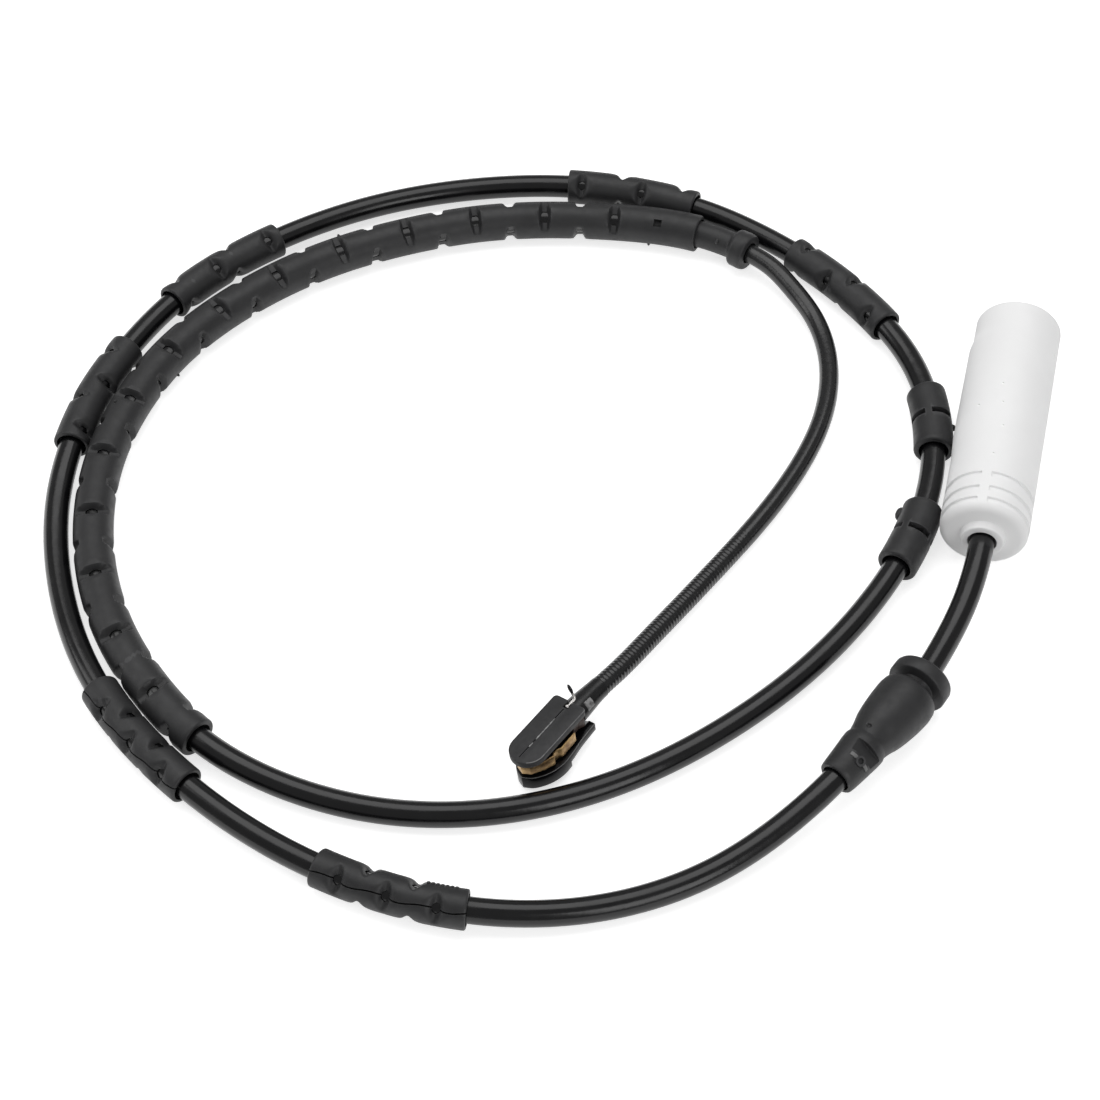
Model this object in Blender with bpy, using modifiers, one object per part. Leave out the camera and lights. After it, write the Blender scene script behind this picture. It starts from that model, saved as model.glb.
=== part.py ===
"""Brake pad wear sensor, as it lies on a floor: a round plug, a two-core cable that carries
notched clip sleeves, a body grommet and one long notched sleeve, and a thinner lead that
ends in a slotted sensor head. Metres, +Z up. The origin is on the floor, in the middle
of the moulded pieces."""

import math

import bmesh
import bpy
import numpy as np
from mathutils import Euler, Matrix, Vector

MM = 0.001

# Cable and lead
CABLE_DIAMETER = 5.0 * MM
LEAD_DIAMETER = 4.1 * MM
CORE_DIAMETER = 1.8 * MM
CABLE_LENGTH = 979.0 * MM
CABLE_POINT_COUNT = 67
LEAD_POINT_COUNT = 19

# Clearances
FACE_GAP = 0.3 * MM          # between end faces that meet
SLIP_FIT = 0.55 * MM         # round the cable, in a sleeve that slides on it
LEAD_FIT = 0.35 * MM         # round the lead, in the pieces that grip it
SEAT_FIT = 0.3 * MM          # between a round piece and its seat

# Sleeves on the cable: where each is centred along the cable, and how it is turned
CLIP_LENGTH = 29.0 * MM
CLIP_DIAMETER = 7.5 * MM
SLIT_WIDTH = 0.4 * MM
SHORT_LENGTH = 16.1 * MM
SHORT_DIAMETER = 8.2 * MM
LONG_START = 759.7 * MM
LONG_DIAMETER = 8.1 * MM
NOTCH_PITCH = 15.56 * MM
NOTCH_COUNT = 14
LONG_LEAD_IN = 6.4 * MM      # from the sleeve's end to its first side notch
LONG_TAIL = 18.9 * MM        # from the last top notch to the sleeve's other end
PLUG_DEPTH = 10.8 * MM       # how far the end relief reaches into the long sleeve
PLUG_BORE = 6.6 * MM
SLEEVE_SIDES = 12
SLEEVE_EDGE = 0.3 * MM

# Notches: cross-cuts whose floor breaks into the bore
NOTCH_DEPTH = 1.35 * MM
NOTCH_MOUTH = 1.75 * MM      # half width at the sleeve's surface
NOTCH_BOTTOM = 0.8 * MM      # half width at the floor
CLIP_PITCH_CLOSE = 9.2 * MM
CLIP_PITCH_WIDE = 13.6 * MM
CLIP_EDGE_WIDE = 3.1 * MM
SHORT_SLOT_WIDTH = 1.4 * MM  # of the slots half way along a short sleeve
SHORT_SLOT_CHORD = 4.7 * MM
LATCH_WINDOW = (1.8 * MM, 1.6 * MM)
LATCH_WINDOW_AT = 9.0 * MM   # from the long sleeve's far end

# Grommet that closes the hole in the body panel
GROMMET_START = 48.6 * MM
GROMMET_LENGTH = 28.1 * MM
FLANGE_RADIUS = 6.25 * MM
FLANGE_THICKNESS = 2.0 * MM
PANEL_GROOVE_RADIUS = 4.4 * MM
PANEL_GROOVE_WIDTH = 1.8 * MM
BELL_RADIUS = 6.0 * MM
COLLAR_RADIUS = 4.35 * MM
COLLAR_LENGTH = 9.9 * MM
COLLAR_NECK = 1.2 * MM       # between the bell and the collar
COLLAR_NOTCH_AT = 4.3 * MM   # from the collar's end
COLLAR_NOTCH_DEPTH = 2.1 * MM
GROMMET_SIDES = 16

# End relief where the lead leaves the long sleeve
RELIEF_RADIUS = 2.9 * MM
RELIEF_FLANGE_RADIUS = 4.1 * MM
RELIEF_NECK = 8.6 * MM
RELIEF_FLANGE = 3.9 * MM
SPLICE_RADIUS = 0.85 * MM
SPLICE_SPREAD = 1.15 * MM

# Plug: a round socket housing with two pins
PLUG_RADIUS = 8.85 * MM
PLUG_LENGTH = 58.0 * MM
BOSS_RADIUS = 4.2 * MM
BOSS_LENGTH = 1.6 * MM
BOSS_AT = 13.0 * MM          # from the cable's inner end to the boss face
REAR_ROUND = 2.0 * MM
GRIP_GROOVE_WIDTH = 1.2 * MM
GRIP_GROOVE_DEPTH = 0.55 * MM
GRIP_GROOVE_AT = (2.8 * MM, 6.6 * MM, 10.9 * MM)   # from the rear face
GRIP_RIB_WIDTH = 1.9 * MM
SOCKET_RADIUS = 7.2 * MM
SOCKET_DEPTH = 28.6 * MM
CHAMBER_RADIUS = 5.4 * MM
SEAL_SEAT_RADIUS = 4.6 * MM
SEAL_SEAT = (4.5 * MM, 11.6 * MM)                  # from the boss face
CARRIER_THICKNESS = 8.2 * MM
PIN_SPACING = 5.0 * MM
PIN_RADIUS = 0.75 * MM
PIN_REACH = 10.3 * MM        # in front of the carrier
CRIMP_RADIUS = 1.2 * MM
CRIMP_LENGTH = 5.4 * MM
PLUG_SIDES = 24

# Sensor head: two plates on a narrow core, with a spring in the groove between them
HEAD_LENGTH = 17.4 * MM
TOP_WIDTH = 6.7 * MM
TOP_THICKNESS = 1.5 * MM
GROOVE_HEIGHT = 3.95 * MM
CORE_WIDTH = 3.4 * MM
CORE_LENGTH = 15.0 * MM
FOOT_LENGTH = 16.3 * MM
FOOT_WIDTH = 9.6 * MM
FOOT_THICKNESS = 3.0 * MM
LEDGE_HEIGHT = 1.2 * MM      # the foot's rear part is raised by this much
LEDGE_END = 7.2 * MM
LEAD_HEIGHT = 4.85 * MM      # of the lead's centre above the foot's underside
HEAD_ROLL = math.radians(8.0)
SPRING_THICKNESS = 0.35 * MM
SPRING_HEIGHT = 2.4 * MM
SPRING_PROUD = 0.55 * MM     # of the spring's bumps beyond the top plate
SEAM_WIDTH = 0.4 * MM
SEAM_DEPTH = 0.35 * MM
SENSE_WIRE = 0.6 * MM
WIRE_DEPTH = 0.5 * MM        # of the wire's centre below the top
WIRE_NOTCH = (1.8 * MM, 1.1 * MM)
BOOT_LENGTH = 8.0 * MM
BOOT_WALL = 0.35 * MM
BOOT_WIDTH = 6.0 * MM
BOOT_HEIGHT = 5.2 * MM

# The way the cable and then the lead run, from inside the plug to the sensor head (mm)
ROUTE_MIDDLE = (0.546, -0.576, -0.059)
HARNESS_ROUTE = (
    (90.65, 20.0, 8.85), (90.65, 13.5, 8.85), (90.65, 7.0, 8.85), (90.4, 0.5, 8.5),
    (89.25, -8.5, 7.4), (87.1, -17.5, 6.6), (83.4, -28.9, 6.3), (77.55, -41.45, 6.3),
    (71.6, -53.5, 5.8), (66.15, -61.8, 4.6), (54.25, -75.5, 2.95), (36.2, -87.8, 2.65),
    (13.55, -94.7, 3.8), (-14.95, -92.6, 3.77), (-42.7, -82.05, 3.8), (-67.55, -64.05, 3.82),
    (-84.1, -41.05, 2.9), (-92.8, -17.5, 3.3), (-94.45, -5.0, 3.8), (-94.45, 8.95, 3.78),
    (-91.9, 23.4, 3.78), (-86.75, 38.7, 3.8), (-71.4, 61.1, 3.8), (-51.4, 78.95, 2.95),
    (-27.05, 90.0, 3.2), (-12.95, 92.85, 3.8), (2.5, 93.95, 3.78), (16.8, 92.45, 3.78),
    (32.1, 87.6, 3.5), (44.7, 80.75, 3.8), (57.05, 71.65, 3.8), (68.65, 58.85, 3.88),
    (76.45, 40.85, 4.12), (78.45, 20.3, 4.12), (75.4, 2.0, 4.1), (64.95, -22.5, 2.75),
    (50.75, -43.2, 2.6), (33.95, -59.9, 2.6), (14.7, -71.5, 2.6), (-6.65, -77.15, 2.65),
    (-26.0, -76.7, 3.1), (-45.3, -70.75, 4.07), (-57.65, -62.2, 4.07), (-68.9, -50.9, 4.06),
    (-77.55, -37.7, 4.06), (-83.5, -22.8, 4.06), (-86.35, -7.25, 4.06), (-85.85, 8.4, 4.06),
    (-82.45, 23.2, 4.06), (-75.85, 36.85, 4.06), (-66.9, 49.2, 4.06), (-55.9, 60.0, 4.06),
    (-43.55, 68.75, 4.06), (-30.15, 75.85, 4.06), (-15.3, 80.8, 4.1), (0.55, 83.6, 4.3),
    (18.5, 83.75, 4.7), (30.0, 80.5, 4.85), (36.1, 77.2, 4.8), (41.1, 73.05, 4.0),
    (46.6, 67.5, 2.8), (51.4, 58.65, 2.2), (53.85, 48.2, 2.12), (54.05, 37.3, 2.12),
    (52.45, 26.95, 2.12), (46.45, 7.75, 2.12), (38.85, -9.95, 2.2), (35.1, -18.6, 2.6),
    (31.35, -27.6, 3.5), (27.35, -37.15, 4.6), (23.95, -44.0, 5.15), (21.4, -49.7, 5.47),
)


class Route:
    """A natural cubic spline through the route's points, measured by length along it."""

    def __init__(self, points):
        knots = (np.array(points) - np.array(ROUTE_MIDDLE)) * MM
        chord = np.linalg.norm(np.diff(knots, axis=0), axis=1)
        count = len(knots)
        matrix = np.eye(count)
        right = np.zeros((count, 3))
        for i in range(1, count - 1):
            before, after = chord[i - 1], chord[i]
            matrix[i, i - 1:i + 2] = before, 2.0 * (before + after), after
            right[i] = 6.0 * ((knots[i + 1] - knots[i]) / after - (knots[i] - knots[i - 1]) / before)
        bend = np.linalg.solve(matrix, right)
        pieces = []
        for i, width in enumerate(chord):
            b = np.linspace(0.0, width, 40, endpoint=False)[:, None]
            a = width - b
            pieces.append((bend[i] * a ** 3 + bend[i + 1] * b ** 3) / (6.0 * width)
                          + (knots[i] / width - bend[i] * width / 6.0) * a
                          + (knots[i + 1] / width - bend[i + 1] * width / 6.0) * b)
        self.samples = np.vstack(pieces + [knots[-1:]])
        steps = np.linalg.norm(np.diff(self.samples, axis=0), axis=1)
        self.lengths = np.concatenate(([0.0], np.cumsum(steps)))
        self.length = float(self.lengths[-1])

    def point(self, at):
        """The place that lies this far along; past either end it runs on straight."""
        inside = min(max(at, 0.0), self.length)
        place = Vector([np.interp(inside, self.lengths, self.samples[:, k]) for k in range(3)])
        return place + self.tangent(inside) * (at - inside)

    def tangent(self, at):
        low, high = max(at - MM, 0.0), min(at + MM, self.length)
        ends = [[np.interp(x, self.lengths, self.samples[:, k]) for k in range(3)]
                for x in (low, high)]
        return (Vector(ends[1]) - Vector(ends[0])).normalized()

    def frame(self, at, roll=0.0):
        """Place, and the axes of a piece there: its row direction, its side and its length.
        A roll of zero has the row straight up, and a positive one leans it to the left."""
        along = self.tangent(at)
        left = Vector((0.0, 0.0, 1.0)).cross(along).normalized()
        up = along.cross(left)
        row = up * math.cos(roll) + left * math.sin(roll)
        return self.point(at), row, along.cross(row), along


def clear_scene():
    for obj in list(bpy.data.objects):
        bpy.data.objects.remove(obj, do_unlink=True)


def new_collection(name):
    collection = bpy.data.collections.new(name)
    bpy.context.scene.collection.children.link(collection)
    return collection


def material(name, colour, roughness, metallic=0.0):
    mat = bpy.data.materials.new(name)
    mat.use_nodes = True
    shader = mat.node_tree.nodes["Principled BSDF"]
    shader.inputs["Base Color"].default_value = (*colour, 1.0)
    shader.inputs["Roughness"].default_value = roughness
    shader.inputs["Metallic"].default_value = metallic
    return mat


def add_object(name, mesh, collection):
    obj = bpy.data.objects.new(name, mesh)
    collection.objects.link(obj)
    return obj


def finish(obj, mat, smooth_angle=35.0):
    obj.data.materials.clear()
    obj.data.materials.append(mat)
    obj.data.shade_smooth()
    obj.data.set_sharp_from_angle(angle=math.radians(smooth_angle))
    return obj


def bake(obj):
    """Replaces an object's mesh by the one its modifiers give."""
    bpy.context.view_layer.update()
    graph = bpy.context.evaluated_depsgraph_get()
    mesh = bpy.data.meshes.new_from_object(obj.evaluated_get(graph))
    obj.modifiers.clear()
    obj.data = mesh
    return obj


def move_points(obj, place):
    for vertex in obj.data.vertices:
        vertex.co = place(vertex.co)
    obj.data.update()


def turned(name, profile, sides, collection):
    """A solid of revolution about Z. The profile is (radius, height) points down the outer
    side from the top; where it doesn't end on the axis it closes up the bore."""
    mesh = bpy.data.meshes.new(name)
    count = len(profile)
    closed = profile[0][0] > 0.0
    edges = [(i, i + 1) for i in range(count - 1)]
    if closed:
        edges.append((count - 1, 0))
    mesh.from_pydata([(r, 0.0, z) for r, z in profile], edges, [])
    obj = add_object(name, mesh, collection)
    screw = obj.modifiers.new("Turn", 'SCREW')
    screw.axis = 'Z'
    screw.angle = 2.0 * math.pi
    screw.steps = sides
    screw.render_steps = sides
    screw.use_merge_vertices = True
    screw.merge_threshold = 0.00001
    return bake(obj)


def prism(name, outline, low, high, collection):
    """A straight solid on an XY outline that runs anticlockwise, from low to high along Z."""
    shape = bmesh.new()
    face = shape.faces.new([shape.verts.new((x, y, low)) for x, y in outline])
    raised = bmesh.ops.extrude_face_region(shape, geom=[face])
    top = [item for item in raised["geom"] if isinstance(item, bmesh.types.BMVert)]
    bmesh.ops.translate(shape, verts=top, vec=(0.0, 0.0, high - low))
    bmesh.ops.recalc_face_normals(shape, faces=shape.faces)
    mesh = bpy.data.meshes.new(name)
    shape.to_mesh(mesh)
    shape.free()
    return add_object(name, mesh, collection)


def box(name, low, high, collection):
    low, high = Vector(low), Vector(high)
    shape = bmesh.new()
    size = Matrix.Diagonal((*(high - low), 1.0))
    bmesh.ops.create_cube(shape, size=1.0, matrix=Matrix.Translation((low + high) / 2.0) @ size)
    mesh = bpy.data.meshes.new(name)
    shape.to_mesh(mesh)
    shape.free()
    return add_object(name, mesh, collection)


def cylinder(name, radius, low, high, sides, collection):
    shape = bmesh.new()
    bmesh.ops.create_cone(shape, cap_ends=True, segments=sides, radius1=radius, radius2=radius,
                          depth=high - low, matrix=Matrix.Translation((0.0, 0.0, (low + high) / 2.0)))
    mesh = bpy.data.meshes.new(name)
    shape.to_mesh(mesh)
    shape.free()
    return add_object(name, mesh, collection)


def transform(obj, matrix):
    obj.data.transform(matrix)
    return obj


def join_meshes(name, objects, collection):
    """One object that holds the meshes of several, which are removed."""
    shape = bmesh.new()
    for obj in objects:
        shape.from_mesh(obj.data)
    mesh = bpy.data.meshes.new(name)
    shape.to_mesh(mesh)
    shape.free()
    for obj in objects:
        bpy.data.objects.remove(obj, do_unlink=True)
    return add_object(name, mesh, collection)


def combine(obj, tool, operation):
    """Cuts or joins another object into this one with an exact Boolean, and applies it."""
    tool.hide_render = True
    tool.display_type = 'WIRE'
    modifier = obj.modifiers.new("Combine", 'BOOLEAN')
    modifier.operation = operation
    modifier.solver = 'EXACT'
    modifier.object = tool
    bake(obj)
    shape = bmesh.new()
    shape.from_mesh(obj.data)
    bmesh.ops.remove_doubles(shape, verts=shape.verts, dist=0.000002)
    bmesh.ops.dissolve_degenerate(shape, edges=shape.edges, dist=0.000002)
    shape.to_mesh(obj.data)
    shape.free()
    return obj


def cut(obj, tool):
    return combine(obj, tool, 'DIFFERENCE')


def fuse(obj, tool):
    return combine(obj, tool, 'UNION')


def bend_along(obj, route, start, roll_start, roll_end=None):
    """Lays a piece that was built along Z on the route, from this far along it."""
    height = max(vertex.co.z for vertex in obj.data.vertices)
    last = roll_start if roll_end is None else roll_end

    def place(point):
        roll = roll_start + (last - roll_start) * point.z / height
        centre, row, side, _ = route.frame(start + point.z, roll)
        return centre + row * point.x + side * point.y

    move_points(obj, place)
    return obj


def notch_tool(at, angle, radius, depth, cutters):
    """A cross-cut with slanting walls, at this height and turned to its row."""
    floor, outer = radius - depth, radius + MM
    slope = (NOTCH_MOUTH - NOTCH_BOTTOM) / depth
    wide = NOTCH_MOUTH + slope * MM
    outline = ((floor, -NOTCH_BOTTOM), (outer, -wide), (outer, wide), (floor, NOTCH_BOTTOM))
    tool = prism("notch", outline, -radius, radius, cutters)
    upright = Matrix.Rotation(math.pi / 2.0, 4, 'X')
    return transform(tool, Matrix.Translation((0.0, 0.0, at)) @ Matrix.Rotation(angle, 4, 'Z') @ upright)


def sleeve_profile(length, radius, bore, rings, end_bore=None, end_depth=0.0):
    """Down the outside and up the bore of a sleeve, with a ring at each of the heights."""
    down = sorted(rings, reverse=True)
    outside = [(radius - SLEEVE_EDGE, length), (radius, length - SLEEVE_EDGE)]
    outside += [(radius, z) for z in down]
    outside += [(radius, SLEEVE_EDGE), (radius - SLEEVE_EDGE, 0.0)]
    step = length - end_depth
    inside = [(bore, 0.0)] + [(bore, z) for z in reversed(down) if end_bore is None or z < step]
    if end_bore is None:
        return outside + inside + [(bore, length)]
    return outside + inside + [(bore, step), (end_bore, step), (end_bore, length)]


def cable_bore():
    return CABLE_DIAMETER / 2.0 + SLIP_FIT


def notched_sleeve(name, length, diameter, rows, model, cutters, rings, end_bore=None, end_depth=0.0):
    """A straight sleeve about Z. Rows give, for each angle, the heights of its notches."""
    radius = diameter / 2.0
    profile = sleeve_profile(length, radius, cable_bore(), rings, end_bore, end_depth)
    sleeve = turned(name, profile, SLEEVE_SIDES, model)
    for angle, heights in rows.items():
        tools = [notch_tool(at, math.radians(angle), radius, NOTCH_DEPTH, cutters) for at in heights]
        cut(sleeve, join_meshes(name + "_notches", tools, cutters))
    return sleeve


def clip_sleeve(name, centre, roll, close, route, model, cutters):
    """A short clip sleeve: three and two notches a row with a slit where they are close."""
    half = CLIP_LENGTH / 2.0
    if close:
        front = [half - CLIP_PITCH_CLOSE, half, half + CLIP_PITCH_CLOSE]
        side = [half - CLIP_PITCH_CLOSE / 2.0, half + CLIP_PITCH_CLOSE / 2.0]
        rings = [half + CLIP_PITCH_CLOSE * k / 4.0 for k in (-5.0, -3.0, -1.0, 1.0, 3.0, 5.0)]
    else:
        front = [CLIP_EDGE_WIDE, CLIP_EDGE_WIDE + CLIP_PITCH_WIDE]
        side = [CLIP_LENGTH - at for at in front]
        middle = (front[1] + side[1]) / 2.0
        rings = [(front[0] + side[1]) / 2.0, middle, CLIP_LENGTH - (front[0] + side[1]) / 2.0]
    rows = {0: front, 180: front, 90: side, 270: side}
    sleeve = notched_sleeve(name, CLIP_LENGTH, CLIP_DIAMETER, rows, model, cutters, rings)
    if close:
        slit = box(name + "_slit", (CABLE_DIAMETER / 2.0, -SLIT_WIDTH / 2.0, -MM),
                   (CLIP_DIAMETER, SLIT_WIDTH / 2.0, CLIP_LENGTH + MM), cutters)
        cut(sleeve, slit)
    return bend_along(sleeve, route, centre - half, math.radians(roll))


def short_sleeve(name, centre, roll, route, model, cutters):
    """A sleeve with four narrow slots round its middle."""
    radius = SHORT_DIAMETER / 2.0
    half = SHORT_LENGTH / 2.0
    rings = [half / 2.0, half * 1.5]
    profile = sleeve_profile(SHORT_LENGTH, radius, cable_bore(), rings)
    sleeve = turned(name, profile, SLEEVE_SIDES, model)
    tools = []
    for quarter in range(4):
        slot = box("slot", (CABLE_DIAMETER / 2.0, -SHORT_SLOT_CHORD / 2.0, half - SHORT_SLOT_WIDTH / 2.0),
                   (radius + MM, SHORT_SLOT_CHORD / 2.0, half + SHORT_SLOT_WIDTH / 2.0), cutters)
        tools.append(transform(slot, Matrix.Rotation(quarter * math.pi / 2.0, 4, 'Z')))
    for tool in tools:
        cut(sleeve, tool)
    return bend_along(sleeve, route, centre - half, math.radians(roll))


def long_sleeve_length():
    return LONG_LEAD_IN + NOTCH_PITCH / 2.0 + NOTCH_PITCH * (NOTCH_COUNT - 1) + LONG_TAIL


def long_sleeve(name, roll_start, roll_end, route, model, cutters):
    """The sleeve that guards the cable's last stretch, notched all along in four rows."""
    length = long_sleeve_length()
    side = [LONG_LEAD_IN + NOTCH_PITCH * k for k in range(NOTCH_COUNT)]
    top = [at + NOTCH_PITCH / 2.0 for at in side]
    rings = [LONG_LEAD_IN + NOTCH_PITCH * (k + 0.5) / 2.0 for k in range(2 * NOTCH_COUNT)]
    rows = {0: top, 180: top, 90: side, 270: side}
    sleeve = notched_sleeve(name, length, LONG_DIAMETER, rows, model, cutters, rings,
                            PLUG_BORE / 2.0, PLUG_DEPTH)
    wide, deep = LATCH_WINDOW
    at = length - LATCH_WINDOW_AT
    window = box(name + "_latch_window", (CABLE_DIAMETER / 2.0, -deep / 2.0, at - wide / 2.0),
                 (LONG_DIAMETER, deep / 2.0, at + wide / 2.0), cutters)
    cut(sleeve, window)
    return bend_along(sleeve, route, LONG_START, math.radians(roll_start), math.radians(roll_end))


def body_grommet(name, roll, route, model, cutters):
    """Flange, panel groove, bell and notched collar, turned as one rubber piece."""
    groove_end = FLANGE_THICKNESS + PANEL_GROOVE_WIDTH
    collar_start = GROMMET_LENGTH - COLLAR_LENGTH
    bell_end = collar_start - COLLAR_NECK
    swell = (bell_end - groove_end) / 4.0
    edge = 0.35 * MM
    bore = cable_bore()
    rising = [
        (FLANGE_RADIUS - edge, 0.0), (FLANGE_RADIUS, edge), (FLANGE_RADIUS, FLANGE_THICKNESS - edge),
        (FLANGE_RADIUS - edge, FLANGE_THICKNESS), (PANEL_GROOVE_RADIUS, FLANGE_THICKNESS),
        (PANEL_GROOVE_RADIUS, groove_end), (BELL_RADIUS * 0.88, groove_end + 0.4 * MM),
        (BELL_RADIUS, groove_end + swell), (BELL_RADIUS * 0.96, groove_end + 2.0 * swell),
        (BELL_RADIUS * 0.84, groove_end + 3.0 * swell), (BELL_RADIUS * 0.7, bell_end),
        (COLLAR_RADIUS - edge, bell_end + edge / 2.0), (COLLAR_RADIUS, collar_start),
        (COLLAR_RADIUS, GROMMET_LENGTH - COLLAR_LENGTH * 0.4),
        (COLLAR_RADIUS - edge, GROMMET_LENGTH - COLLAR_LENGTH * 0.15), (bore + edge, GROMMET_LENGTH),
    ]
    bore_points = [(bore, z * GROMMET_LENGTH / 4.0) for z in range(5)]
    grommet = turned(name, list(reversed(rising)) + bore_points, GROMMET_SIDES, model)
    at = GROMMET_LENGTH - COLLAR_NOTCH_AT
    tools = [notch_tool(at, angle, COLLAR_RADIUS, COLLAR_NOTCH_DEPTH, cutters)
             for angle in (0.0, math.pi)]
    cut(grommet, join_meshes(name + "_notches", tools, cutters))
    return bend_along(grommet, route, GROMMET_START, math.radians(roll))


def relief_start():
    return LONG_START + long_sleeve_length() - PLUG_DEPTH + FACE_GAP


def end_relief(name, route, model):
    """The plug in the long sleeve's end: a neck, and a flange that the lead leaves."""
    inside = PLUG_DEPTH - FACE_GAP
    length = inside + RELIEF_NECK + RELIEF_FLANGE
    bore = LEAD_DIAMETER / 2.0 + LEAD_FIT
    edge = 0.4 * MM
    flange = length - RELIEF_FLANGE
    outside = [
        (RELIEF_FLANGE_RADIUS - edge, length), (RELIEF_FLANGE_RADIUS, length - edge),
        (RELIEF_FLANGE_RADIUS, flange + 2.0 * edge), (RELIEF_FLANGE_RADIUS - 2.0 * edge, flange),
        (RELIEF_RADIUS, flange - edge), (RELIEF_RADIUS, inside + RELIEF_NECK / 2.0),
        (RELIEF_RADIUS, inside), (RELIEF_RADIUS, inside / 2.0), (RELIEF_RADIUS, 0.0),
    ]
    inner = [(bore, 0.0), (bore, inside / 2.0), (bore, inside), (bore, inside + RELIEF_NECK / 2.0),
             (bore, flange), (bore, length)]
    relief = turned(name, outside + inner, SLEEVE_SIDES, model)
    return bend_along(relief, route, relief_start(), 0.0)


def splice(name, side, route, model):
    """A crimp that joins one core of the cable to one core of the lead."""
    length = relief_start() - CABLE_LENGTH - 2.0 * FACE_GAP
    crimp = cylinder(name, SPLICE_RADIUS, 0.0, length, 8, model)
    transform(crimp, Matrix.Translation((0.0, side * SPLICE_SPREAD, 0.0)))
    return bend_along(crimp, route, CABLE_LENGTH + FACE_GAP, 0.0)


def tube(name, points, diameter, resolution, model):
    """A round cord through the points, as a curve with a bevel, turned into a mesh."""
    data = bpy.data.curves.new(name, 'CURVE')
    data.dimensions = '3D'
    data.bevel_depth = diameter / 2.0
    data.bevel_resolution = resolution
    data.use_fill_caps = True
    spline = data.splines.new('POLY')
    spline.points.add(len(points) - 1)
    for target, point in zip(spline.points, points):
        target.co = (*point, 1.0)
    guide = bpy.data.objects.new(name + "_curve", data)
    model.objects.link(guide)
    bpy.context.view_layer.update()
    graph = bpy.context.evaluated_depsgraph_get()
    mesh = bpy.data.meshes.new_from_object(guide.evaluated_get(graph))
    shape = bmesh.new()
    shape.from_mesh(mesh)
    bmesh.ops.remove_doubles(shape, verts=shape.verts, dist=0.00001)
    shape.to_mesh(mesh)
    shape.free()
    obj = add_object(name, mesh, model)
    obj.matrix_world = guide.matrix_world
    bpy.data.objects.remove(guide, do_unlink=True)
    return obj


def route_tube(name, route, start, end, count, diameter, resolution, model):
    points = [route.point(start + (end - start) * k / (count - 1.0)) for k in range(count)]
    return tube(name, points, diameter, resolution, model)


def plug_matrix(route):
    """From the plug's own frame, with Z from the boss face to the mouth, to the world."""
    return Matrix.Translation(route.point(BOSS_AT)) @ Matrix.Rotation(-math.pi / 2.0, 4, 'X')


def connector_housing(name, route, model, cutters):
    """The white shell: cable bore, seal seat and wire chamber behind an open socket."""
    rear = BOSS_LENGTH
    mouth = rear + PLUG_LENGTH
    socket = mouth - SOCKET_DEPTH
    edge = 0.4 * MM
    steps = 3
    rear_arc = [(PLUG_RADIUS - REAR_ROUND * (1.0 - math.cos(a)), rear + REAR_ROUND * (1.0 - math.sin(a)))
                for a in (math.pi / 2.0 * k / steps for k in range(steps + 1))]
    outside = [(PLUG_RADIUS - edge, mouth), (PLUG_RADIUS, mouth - edge)] + rear_arc
    boss = [(BOSS_RADIUS, rear), (BOSS_RADIUS, edge), (BOSS_RADIUS - edge, 0.0)]
    bore = cable_bore()
    inside = [(bore, 0.0), (bore, SEAL_SEAT[0]), (SEAL_SEAT_RADIUS, SEAL_SEAT[0]),
              (SEAL_SEAT_RADIUS, SEAL_SEAT[1]), (CHAMBER_RADIUS, SEAL_SEAT[1]),
              (CHAMBER_RADIUS, socket), (SOCKET_RADIUS, socket), (SOCKET_RADIUS, mouth)]
    housing = turned(name, outside + boss + inside, PLUG_SIDES, model)
    for at in GRIP_GROOVE_AT:
        cut(housing, grip_groove(rear + at, cutters))
    return transform(housing, plug_matrix(route))


def grip_groove(centre, cutters):
    """A shallow ring groove that stops at the rib on the plug's upper side."""
    floor, outer = PLUG_RADIUS - GRIP_GROOVE_DEPTH, PLUG_RADIUS + MM
    low, high = centre - GRIP_GROOVE_WIDTH / 2.0, centre + GRIP_GROOVE_WIDTH / 2.0
    ring = turned("grip_groove", [(outer, high), (outer, low), (floor, low), (floor, high)],
                  PLUG_SIDES, cutters)
    rib = box("grip_rib", (-GRIP_RIB_WIDTH / 2.0, -2.0 * outer, low - MM),
              (GRIP_RIB_WIDTH / 2.0, 0.0, high + MM), cutters)
    return cut(ring, rib)


def cable_seal(name, route, model):
    """A ribbed ring between the cable and the seal seat."""
    low, high = SEAL_SEAT[0] + FACE_GAP, SEAL_SEAT[1] - FACE_GAP
    outer = SEAL_SEAT_RADIUS - SEAT_FIT
    waist = outer - 0.5 * MM
    inner = CABLE_DIAMETER / 2.0 + SEAT_FIT
    third = (high - low) / 6.0
    outside = [(outer, high), (outer, high - third), (waist, high - 2.0 * third),
               (outer, high - 3.0 * third), (waist, high - 4.0 * third), (outer, high - 5.0 * third),
               (outer, low)]
    seal = turned(name, outside + [(inner, low), (inner, high)], 16, model)
    return transform(seal, plug_matrix(route))


def socket_floor():
    return BOSS_LENGTH + PLUG_LENGTH - SOCKET_DEPTH


def carrier_front():
    return socket_floor() + FACE_GAP + CARRIER_THICKNESS


def contact_carrier(name, route, model, cutters):
    """The disc at the bottom of the socket that holds the two pins."""
    low, high = socket_floor() + FACE_GAP, carrier_front()
    outer = SOCKET_RADIUS - SEAT_FIT
    step = 1.2 * MM
    profile = [(0.0, high), (outer - step, high), (outer - step, high - step), (outer, high - step),
               (outer, low), (0.0, low)]
    carrier = turned(name, profile, 24, model)
    for side in (-1.0, 1.0):
        hole = cylinder("pin_hole", PIN_RADIUS + SEAT_FIT, low - MM, high + MM, 12, cutters)
        cut(carrier, transform(hole, Matrix.Translation((side * PIN_SPACING / 2.0, 0.0, 0.0))))
    return transform(carrier, plug_matrix(route))


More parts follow.
